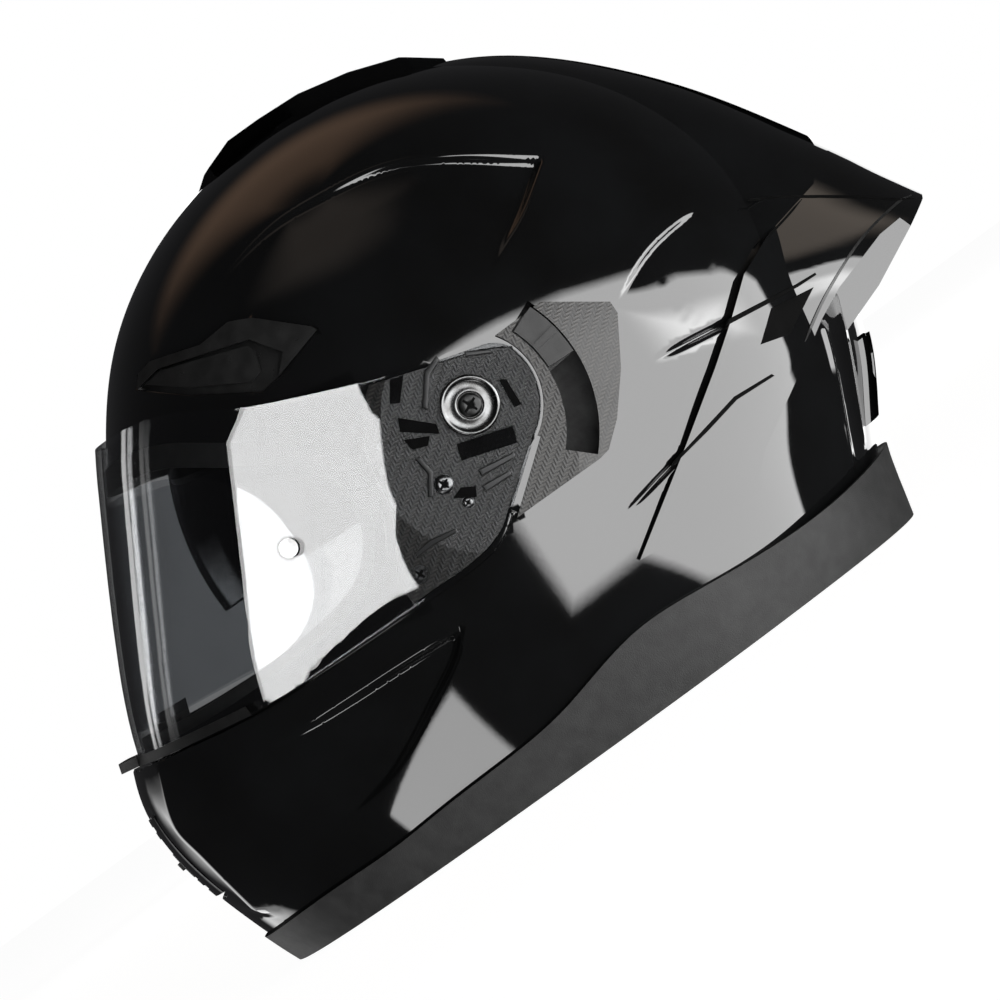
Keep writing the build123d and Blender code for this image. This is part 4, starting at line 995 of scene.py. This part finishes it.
def cross(name, centre, sign, reach, half, low, high):
    """Cross-shaped recess of a screw head, drawn as a near-black cross in the head: painted shade
    of the recess.
    """
    outline = []
    for quarter in range(4):
        a = math.pi / 2 * quarter + CROSS_TURN
        for along, across in ((half, -half), (reach, -half * 0.7), (reach, half * 0.7)):
            outline.append((centre[0] + along * math.cos(a) - across * math.sin(a),
                            centre[1] + along * math.sin(a) + across * math.cos(a)))
    n = len(outline)
    points = [(x, sign * y, z) for y in (low, high) for x, z in outline]
    faces = [tuple(range(n)), tuple(range(n, 2 * n))[::-1]]
    faces += [(i, i + n, (i + 1) % n + n, (i + 1) % n) for i in range(n)]
    faces = [f[::sign] for f in faces]
    hardware(name, closed_mesh(name, points, faces, smooth=False), "seam", "dark_steel")


CROSS_TURN = 0.4  # radians
RING = [
    (4.5, 126.05), (10.2, 126.05), (10.4, 126.3), (10.4, 126.7), (10.2, 127.05), (9.8, 127.26),
    (9.3, 127.26), (8.9, 127.05), (8.6, 126.8), (8.2, 126.62), (7.0, 126.54), (5.6, 126.6),
    (5.0, 126.85), (4.5, 126.7),
]
HEAD = [
    (0.02, 118.0), (4.1, 118.0), (4.15, 126.3), (4.0, 126.65), (3.4, 126.85), (2.0, 126.95),
    (0.02, 126.98),
]
SCREW_HEADS = {  # side-view place, radius and finish
    "upper": (-18, 106.4, 3.4, "bright"),
    "small": (-15, 96.6, 2.1, "bright"),
    "lower": (-42.6, 86.4, 3.1, "dark"),
}
AXLE = (PIVOT[0], PIVOT[2])
for side, sign in SIDES.items():
    ring = turned(f"ring_{side}", AXLE, sign, RING, "bright", "bright_metal")
    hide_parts(f"pivot_ring_{side}")
    screw = turned(f"ring_screw_{side}", AXLE, sign, HEAD, "dark", "dark_steel")
    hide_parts(f"pivot_screw_{side}")
    cross(f"ring_screw_cross_{side}", AXLE, sign, 2.9, 0.55, 126.4, 127.04)
    for place, (x, z, radius, finish) in SCREW_HEADS.items():
        lifted, _ = SHELL.lift([(x, z)], PLATE_FACE)
        top = -lifted[0][1] - 0.25
        profile = [(0.02, -1.6), (radius * 0.96, -1.6), (radius, -0.5), (radius * 0.9, -0.12),
                   (radius * 0.6, 0.12), (0.02, 0.2)]
        profile = [(r, top + rise) for r, rise in profile]
        turned(f"{place}_screw_{side}", (x, z), sign, profile, finish, "bright_metal")
        cross(f"{place}_screw_cross_{side}", (x, z), sign, radius * 0.62, radius * 0.14,
              top - 0.5, top + 0.26)
    # The latch's spring, which shortens as the latch slides, is copied here in spring steel and
    # fixed to the shell, so it keeps its length.
    spring = nodes[f"latch_spring_{side}"]
    coil = add_object(f"spring_{side}", spring.data.copy())
    coil.matrix_world = spring.matrix_world
    coil.data.materials.clear()
    coil.data.materials.append(MATERIALS["coil"])
    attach(coil, "shell")
    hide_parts(f"latch_spring_{side}")
    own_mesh(coil)

# ---------------------------------------------------------------- padding
def add_piece(name, mesh, source, finish):
    """Piece that takes a node's place and rides where it does."""
    made = add_object(name, mesh)
    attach(made, body_of(nodes[source])[0])
    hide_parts(source)
    mesh.materials.append(MATERIALS[finish])
    return made


def applied(thing):
    """The mesh a thing has with its modifiers applied."""
    graph = bpy.context.evaluated_depsgraph_get()
    return bpy.data.meshes.new_from_object(thing.evaluated_get(graph))


def read(mesh, what="co"):
    """The vertices' places, or their normals."""
    flat = np.empty(len(mesh.vertices) * 3)
    mesh.vertices.foreach_get(what, flat)
    return flat.reshape(-1, 3)


CLOTH = {
    "use_pressure": True, "uniform_pressure_force": 4.0, "quality": 4, "mass": 0.2,
    "tension_stiffness": 12, "compression_stiffness": 12, "shear_stiffness": 6,
    "bending_stiffness": 0.6,
}
CLOTH_FRAMES = 20
CHANNEL, WELT, WELT_PLACE = 0.0028, 0.0022, 0.0055  # widths, and distance from the seam, m
WELT_RISE, MOST_RISE = 0.16, 0.2  # shares of the channel's depth


def cushion(node, seams, most=0.0035, voxel=0.0045, shrink=0.0012, piping=0.0011):
    """Sewn pad in a node's space: remeshed, blown up as cloth, then drawn in along its seams.

    Each seam is a plane, as a point and a direction in metres, and shows as a stitched channel.
    most caps how far the cloth may move from its shrunken start.
    """
    work = add_object("work", nodes[node].data.copy())
    work.matrix_world = nodes[node].matrix_world
    remesh = work.modifiers.new("remesh", "REMESH")
    remesh.mode = "VOXEL"
    remesh.voxel_size = voxel
    even = work.modifiers.new("even", "SMOOTH")
    even.iterations = 4
    start = applied(work)
    work.modifiers.clear()
    work.data = start
    normals = read(start, "normal")
    points = read(start) - normals * shrink
    start.vertices.foreach_set("co", points.ravel())
    scene = bpy.context.scene
    scene.frame_set(1)
    cloth = work.modifiers.new("cloth", "CLOTH").settings
    for key, value in CLOTH.items():
        setattr(cloth, key, value)
    cloth.effector_weights.gravity = 0
    for step in range(1, CLOTH_FRAMES + 1):
        scene.frame_set(step)
    swollen = read(applied(work))
    work.modifiers.clear()
    scene.frame_set(1)
    moved = swollen - points
    length = np.maximum(np.linalg.norm(moved, axis=1, keepdims=True), 1e-9)
    swollen = points + moved * np.minimum(1.0, most / length)
    start.vertices.foreach_set("co", swollen.ravel())
    finer = work.modifiers.new("finer", "SUBSURF")
    finer.levels = finer.render_levels = 1
    mesh = applied(work)
    bpy.data.objects.remove(work)
    points = read(mesh)
    depth = np.zeros(len(points))
    for place, direction in seams:
        away = np.abs((points - place) @ unit(np.array([direction], float))[0])
        depth = np.maximum(depth, np.exp(-((away / CHANNEL) ** 2)))
        # A raised welt runs along each side of the stitching.
        welt = WELT_RISE * np.exp(-(((away - WELT_PLACE) / WELT) ** 2))
        depth = np.where(depth < 0.5, np.maximum(depth - welt, -MOST_RISE), depth)
    points = points - read(mesh, "normal") * (depth * piping * 2)[:, None]
    mesh.vertices.foreach_set("co", points.ravel())
    shade_smooth(mesh)
    mesh.materials.clear()
    made = add_piece(f"{node}_cloth", mesh, node, "pad")


cushion("crown_pad", [((0, y, 0), (0, 1, 0)) for y in (-0.034, 0.034)]
        + [((x, 0, 0), (1, 0, 0.25)) for x in (-0.025, 0.03)])
for side, sign in SIDES.items():
    cushion(f"cheek_pad_{side}", [((-0.048, 0, 0.07), (1, 0, 0.35)), ((0, 0, 0.09), (0.5, 0, 1))])
    cushion(f"strap_pad_{side}", [((0, sign * 0.066, 0), (0, 1, 0))],
            voxel=0.002, most=0.0012, shrink=0.0006, piping=0.0005)
cushion("neck_roll", [((0, 0, 0), (math.cos(a), math.sin(a), 0))
                      for a in np.radians([90, 45, 135])])

# Webbing: a woven strap with rounded selvedges.
STRAP_X, STRAP_WIDTH, STRAP_THICK = -34.0, 24.0, 1.8
STRAP_RIB = 0.12  # height of the weave's ribs
STRAP_PATH = [(104, 26.5), (95, 19.5), (80, 13.6), (58, 10), (34, 9), (10, 9)]


def strap(side, sign):
    path = curve(STRAP_PATH, 1.6)
    along = unit(np.gradient(path, axis=0))
    up = np.stack([-along[:, 1], along[:, 0]], 1)
    up *= np.where(up[:, 1:] < 0, -1, 1)
    half, thick = STRAP_WIDTH / 2, STRAP_THICK / 2
    section = [(-half + 0.5, -thick)]
    section += [(x, -thick) for x in np.linspace(1.2 - half, half - 1.2, 11)]
    section += [(half - 0.4, -thick * 0.8), (half, 0), (half - 0.4, thick * 0.8)]
    section += [(x, thick) for x in np.linspace(half - 1.2, 1.2 - half, 11)]
    section += [(-half + 0.4, thick * 0.8), (-half, 0)]
    rings = []
    for i, (place, lift) in enumerate(zip(path, up)):
        for x, height in section:
            rib = 0 if abs(height) < thick else STRAP_RIB * (-1) ** i * math.copysign(1, height)
            y, z = place + lift * (height * 0.9 + rib)
            rings.append((STRAP_X + x, sign * y, z))
    n, count = len(section), len(path)
    faces = grid_faces(count - 1, n, wrap=True)
    faces += [tuple(range(n))[::-1], tuple(range((count - 1) * n, count * n))]
    name = f"strap_webbing_{side}"
    mesh = closed_mesh(name, rings, [f[::-sign] for f in faces])
    add_piece(name, mesh, f"chin_strap_{side}", "webbing")


for side, sign in SIDES.items():
    strap(side, sign)


# Chin curtain: a mesh web stretched under the chin, drawn into small pleats at its free edge.
CURTAIN_CENTRE, CURTAIN_HOLE = (-40.0, 0.0), 81.0  # middle and radius of its free edge, mm
CURTAIN_HEIGHT, CURTAIN_THICK, CURTAIN_BACK = 8.4, 1.1, -92.5
CURTAIN_HALF = 53  # degrees each side of straight ahead
PLEATS = 16
SHELL_WALL = 4.0


def chin_curtain():
    rows, columns = 72, 20
    rim = Volume(SHELL_PROFILE, 124.0 - 2.5)
    inset = SHELL_WALL + 2.8
    z = CURTAIN_HEIGHT - PIVOT[2]
    points = []
    for i in range(rows + 1):
        angle = math.radians(180 - CURTAIN_HALF + 2 * CURTAIN_HALF * i / rows)
        way = np.array((math.cos(angle), math.sin(angle)))
        inner = CURTAIN_CENTRE + way * CURTAIN_HOLE
        near, far = 0.0, 120.0
        for _ in range(30):
            middle = (near + far) / 2
            x, y = inner + way * middle
            edge = rim.radius(math.atan2(z, x - PIVOT[0])) - inset
            within = (math.hypot(x - PIVOT[0], z) / edge) ** SQUARENESS
            within += (abs(y) / (rim.half_width - inset)) ** SQUARENESS
            onward = within < 1 and x < CURTAIN_BACK
            near, far = (middle, far) if onward else (near, middle)
        for j in range(columns + 1):
            t = j / columns
            x, y = inner + way * near * t
            pleat = 0.5 * math.sin(i * 2 * math.pi * PLEATS / rows) * (1 - t) ** 1.5
            sag = 1.6 * math.sin(math.pi * min(t * 1.1, 1)) * (1 - t)
            points.append((x, y, CURTAIN_HEIGHT - sag + pleat))
    points = np.array(points)
    width, n = columns + 1, len(points)
    faces = grid_faces(rows, columns)
    for f in faces:
        a, b, c, d = points[list(f)]
    loop = [*range(width), *(i * width + columns for i in range(1, rows + 1))]
    loop += [*(rows * width + j for j in range(columns - 1, -1, -1))]
    loop += [*(i * width for i in range(rows - 1, 0, -1))]
    solid = faces + [tuple(k + n for k in f[::-1]) for f in faces]
    solid += [(b, a, a + n, b + n) for a, b in zip(loop, loop[1:] + loop[:1])]
    both = np.vstack([points, points - (0, 0, CURTAIN_THICK)])
    mesh = closed_mesh("chin_curtain_web", both, solid)
    web = add_piece("chin_curtain_web", mesh, "chin_curtain", "mesh")


chin_curtain()

# ---------------------------------------------------------------- stage, camera and light
VIEW_ROLL = math.radians(36)  # the helmet is pictured tipped forwards by this much
VIEW_CENTRE, VIEW_DISTANCE = (-0.0057, 0.0909), 2.2
camera_data = bpy.data.cameras.new("camera")
camera_data.sensor_width = 36
camera_data.lens = 220
camera = add_object("camera", camera_data)
cos_roll, sin_roll = math.cos(VIEW_ROLL), math.sin(VIEW_ROLL)
camera.matrix_world = Matrix((
    (cos_roll, sin_roll, 0, VIEW_CENTRE[0]),
    (0, 0, -1, -VIEW_DISTANCE),
    (-sin_roll, cos_roll, 0, VIEW_CENTRE[1]),
    (0, 0, 0, 1),
))
bpy.context.scene.camera = camera
bpy.context.scene.view_settings.view_transform = "Standard"

# The photograph was cut out: what shows through the visor is a dim room, not the white page.
THROUGH_GLASS = 0.2


def page(tree, full):
    """Brightness of the page: full, or dim where it is seen through something clear."""
    path = add_node(tree, "ShaderNodeLightPath")
    values = {0: path.outputs["Transparent Depth"], 1: full * (THROUGH_GLASS - 1), 2: full}
    dimming = add_node(tree, "ShaderNodeMath", values, operation="MULTIPLY_ADD")
    values = {0: dimming.outputs[0], 1: full * THROUGH_GLASS}
    dimmed = add_node(tree, "ShaderNodeMath", values, operation="MAXIMUM")
    return dimmed.outputs[0], path.outputs["Is Camera Ray"]


world = bpy.data.worlds.new("studio")
bpy.context.scene.world = world
world.use_nodes = True
tree = world.node_tree
tree.nodes.clear()
backdrop = add_node(tree, "ShaderNodeBackground", {"Color": (1, 1, 1, 1)})
fill = add_node(tree, "ShaderNodeBackground", {"Color": (0.02, 0.02, 0.021, 1)})
dimmed, is_camera = page(tree, 1.0)
seen = add_node(tree, "ShaderNodeMath", {0: dimmed, 1: is_camera}, operation="MULTIPLY")
values = {0: seen.outputs[0], 1: fill.outputs[0], 2: backdrop.outputs[0]}
mix = add_node(tree, "ShaderNodeMixShader", values)
add_node(tree, "ShaderNodeOutputWorld", {"Surface": mix.outputs[0]})

FLOOR_HALF, FLOOR_GLOW = 6.0, 0.97
corners = [(x * FLOOR_HALF, y * FLOOR_HALF, 0) for x, y in ((-1, -1), (1, -1), (1, 1), (-1, 1))]
floor_mesh = bpy.data.meshes.new("floor")
floor_mesh.from_pydata(corners, [], [(0, 1, 2, 3)])
floor = add_object("floor", floor_mesh)
floor.location = (0, 0, -0.0005)
floor.visible_glossy = False
floor.visible_shadow = False
paper = Finish("floor_paper", roughness=0.9)
paper.colour(grey(0.24), grey(0.27), 3, 4)
paper.set(Emission_Color=(1, 1, 1, 1), Specular_IOR_Level=0.0)
paper.link(page(paper.tree, FLOOR_GLOW)[0], "Emission Strength")
floor_mesh.materials.append(paper.material)

STUDIO_RADIUS, STUDIO_HEIGHT = 2.4, 0.1
PANEL_COLUMNS, PANEL_ROWS = 48, 16


def glow(name, colour, strength, by_share):
    """Light panel's material, whose brightness may follow the mesh's share attribute."""
    made = bpy.data.materials.new(name)
    made.use_nodes = True
    tree = made.node_tree
    tree.nodes.clear()
    values = {"Color": (*colour, 1), "Strength": strength}
    if by_share:
        share = add_node(tree, "ShaderNodeAttribute", attribute_name="share").outputs["Fac"]
        bright = add_node(tree, "ShaderNodeMath", {0: share, 1: strength}, operation="MULTIPLY")
        values["Strength"] = bright.outputs[0]
    surface = add_node(tree, "ShaderNodeEmission", values)
    if by_share:
        clear = add_node(tree, "ShaderNodeBsdfTransparent")
        values = {0: clear.outputs[0], 1: surface.outputs[0]}
        surface = add_node(tree, "ShaderNodeAddShader", values)
    add_node(tree, "ShaderNodeOutputMaterial", {"Surface": surface.outputs[0]})
    return made


def softbox(name, edges, strength, colour=(1, 1, 1), lit=None, mirror=False,
            radius=STUDIO_RADIUS, soft=0.0):
    """Curved light panel: rows of (azimuth, lowest, highest elevation) in degrees about the helmet.

    soft is the share of its half width over which it fades, and lit the pieces it lights.
    """
    rows = np.array(edges, float)
    across = np.linspace(rows[0, 0], rows[-1, 0], PANEL_COLUMNS + 1)
    lows, highs = (np.radians(np.interp(across, rows[:, 0], rows[:, i])) for i in (1, 2))
    points, shares = [], []
    for u, azimuth, low, high in zip(
            np.linspace(0, 1, PANEL_COLUMNS + 1), np.radians(across), lows, highs):
        for t in np.linspace(0, 1, PANEL_ROWS + 1):
            e = low + (high - low) * t
            near_edge = 2 * min(t, 1 - t, u, 1 - u)
            shares.append(float(smooth_step(near_edge / soft)) if soft else 1.0)
            points.append((radius * math.cos(e) * math.cos(azimuth),
                           (-1 if mirror else 1) * radius * math.cos(e) * math.sin(azimuth),
                           STUDIO_HEIGHT + radius * math.sin(e)))
    mesh = bpy.data.meshes.new(name)
    mesh.from_pydata(points, [], grid_faces(PANEL_COLUMNS, PANEL_ROWS))
    if soft:
        mesh.attributes.new("share", "FLOAT", "POINT").data.foreach_set("value", shares)
    mesh.materials.append(glow(name, colour, strength, bool(soft)))
    panel = add_object(name, mesh)
    panel.visible_camera = False
    panel.visible_shadow = False
    if lit:
        panel.light_linking.receiver_collection = lit


def lit_group(name, names, state):
    """Collection of nodes that a panel lights alone (INCLUDE) or leaves out (EXCLUDE)."""
    group = bpy.data.collections.new(name)
    for piece in names:
        group.objects.link(nodes[piece])
    for member in group.collection_objects:
        member.light_linking.link_state = state
    return group


CLEAR_PARTS = ("visor", "anti_fog_insert", "insert_pin_left", "insert_pin_right")
TOP_VENT = ("top_vent", "top_vent_slider")
TOP_PARTS = TOP_VENT + ("exhaust_vent", "rear_trim", "rear_fairing")
visor_only = lit_group("visor_only", CLEAR_PARTS, "INCLUDE")
not_visor = lit_group("not_visor", CLEAR_PARTS, "EXCLUDE")
not_vent = lit_group("not_vent", CLEAR_PARTS + TOP_VENT, "EXCLUDE")
not_top = lit_group("not_top", CLEAR_PARTS + TOP_PARTS, "EXCLUDE")
wing_only = lit_group("wing_only", ["rear_spoiler"], "INCLUDE")
AMBER, CREAM, BUFF = (1.0, 0.62, 0.40), (1.0, 0.85, 0.72), (1.0, 0.84, 0.72)
REAR_BOX = [
    (-93, -20, 13), (-76, -21, 14), (-60, -30, 14), (-32, -36, 9), (-16, -36, 3), (-4, -34, -6),
]
REAR_GLOW = [(-54, -10, 4), (-36, -14, 1), (-12, -18, -4)]
FACE_BOX = [(-152, 2, 30), (-143, -2, 33), (-106, -10, 24)]
EDGE_BOX = [(134, 6, 13), (138, 6, 36), (142, 22, 36)]
CROWN_BOX = [(30, 44, 88), (90, 40, 88), (150, 42, 88)]
WING_BOX = [(-60, 18, 34), (-20, 14, 46), (20, 14, 46)]
ROOF_BOX = [(-150, 62, 89), (-90, 56, 89), (-20, 62, 89)]
CHIN_BOX = [(-142, -31, -26), (-111, -31, -18)]
softbox("rear_box", REAR_BOX, 5.0, lit=not_vent, soft=0.03)
softbox("rear_glow", REAR_GLOW, 4.6, lit=not_visor, radius=2.3, soft=0.9)
softbox("rear_box_right", REAR_BOX[:3], 1.5, lit=not_top, mirror=True)
softbox("chin_box", CHIN_BOX, 4.0, lit=not_visor, soft=0.08)
softbox("chin_box_right", CHIN_BOX, 1.5, lit=not_top, mirror=True)
softbox("face_box", FACE_BOX, 7.6, lit=visor_only)
softbox("visor_edge_box", EDGE_BOX, 3.5, lit=visor_only, soft=0.6)
softbox("visor_bend_box", [(152, 8, 38), (157, 8, 38)], 1.5, lit=visor_only, soft=0.8)
softbox("nose_box", [(120, -30, 8), (156, -30, 14)], 1.5, lit=not_top, soft=0.6)
softbox("crown_box", CROWN_BOX, 0.24, AMBER, soft=0.7)
softbox("wing_box", WING_BOX, 0.7, CREAM, lit=wing_only, soft=0.5)
softbox("roof_box", ROOF_BOX, 0.16, BUFF, soft=0.7)
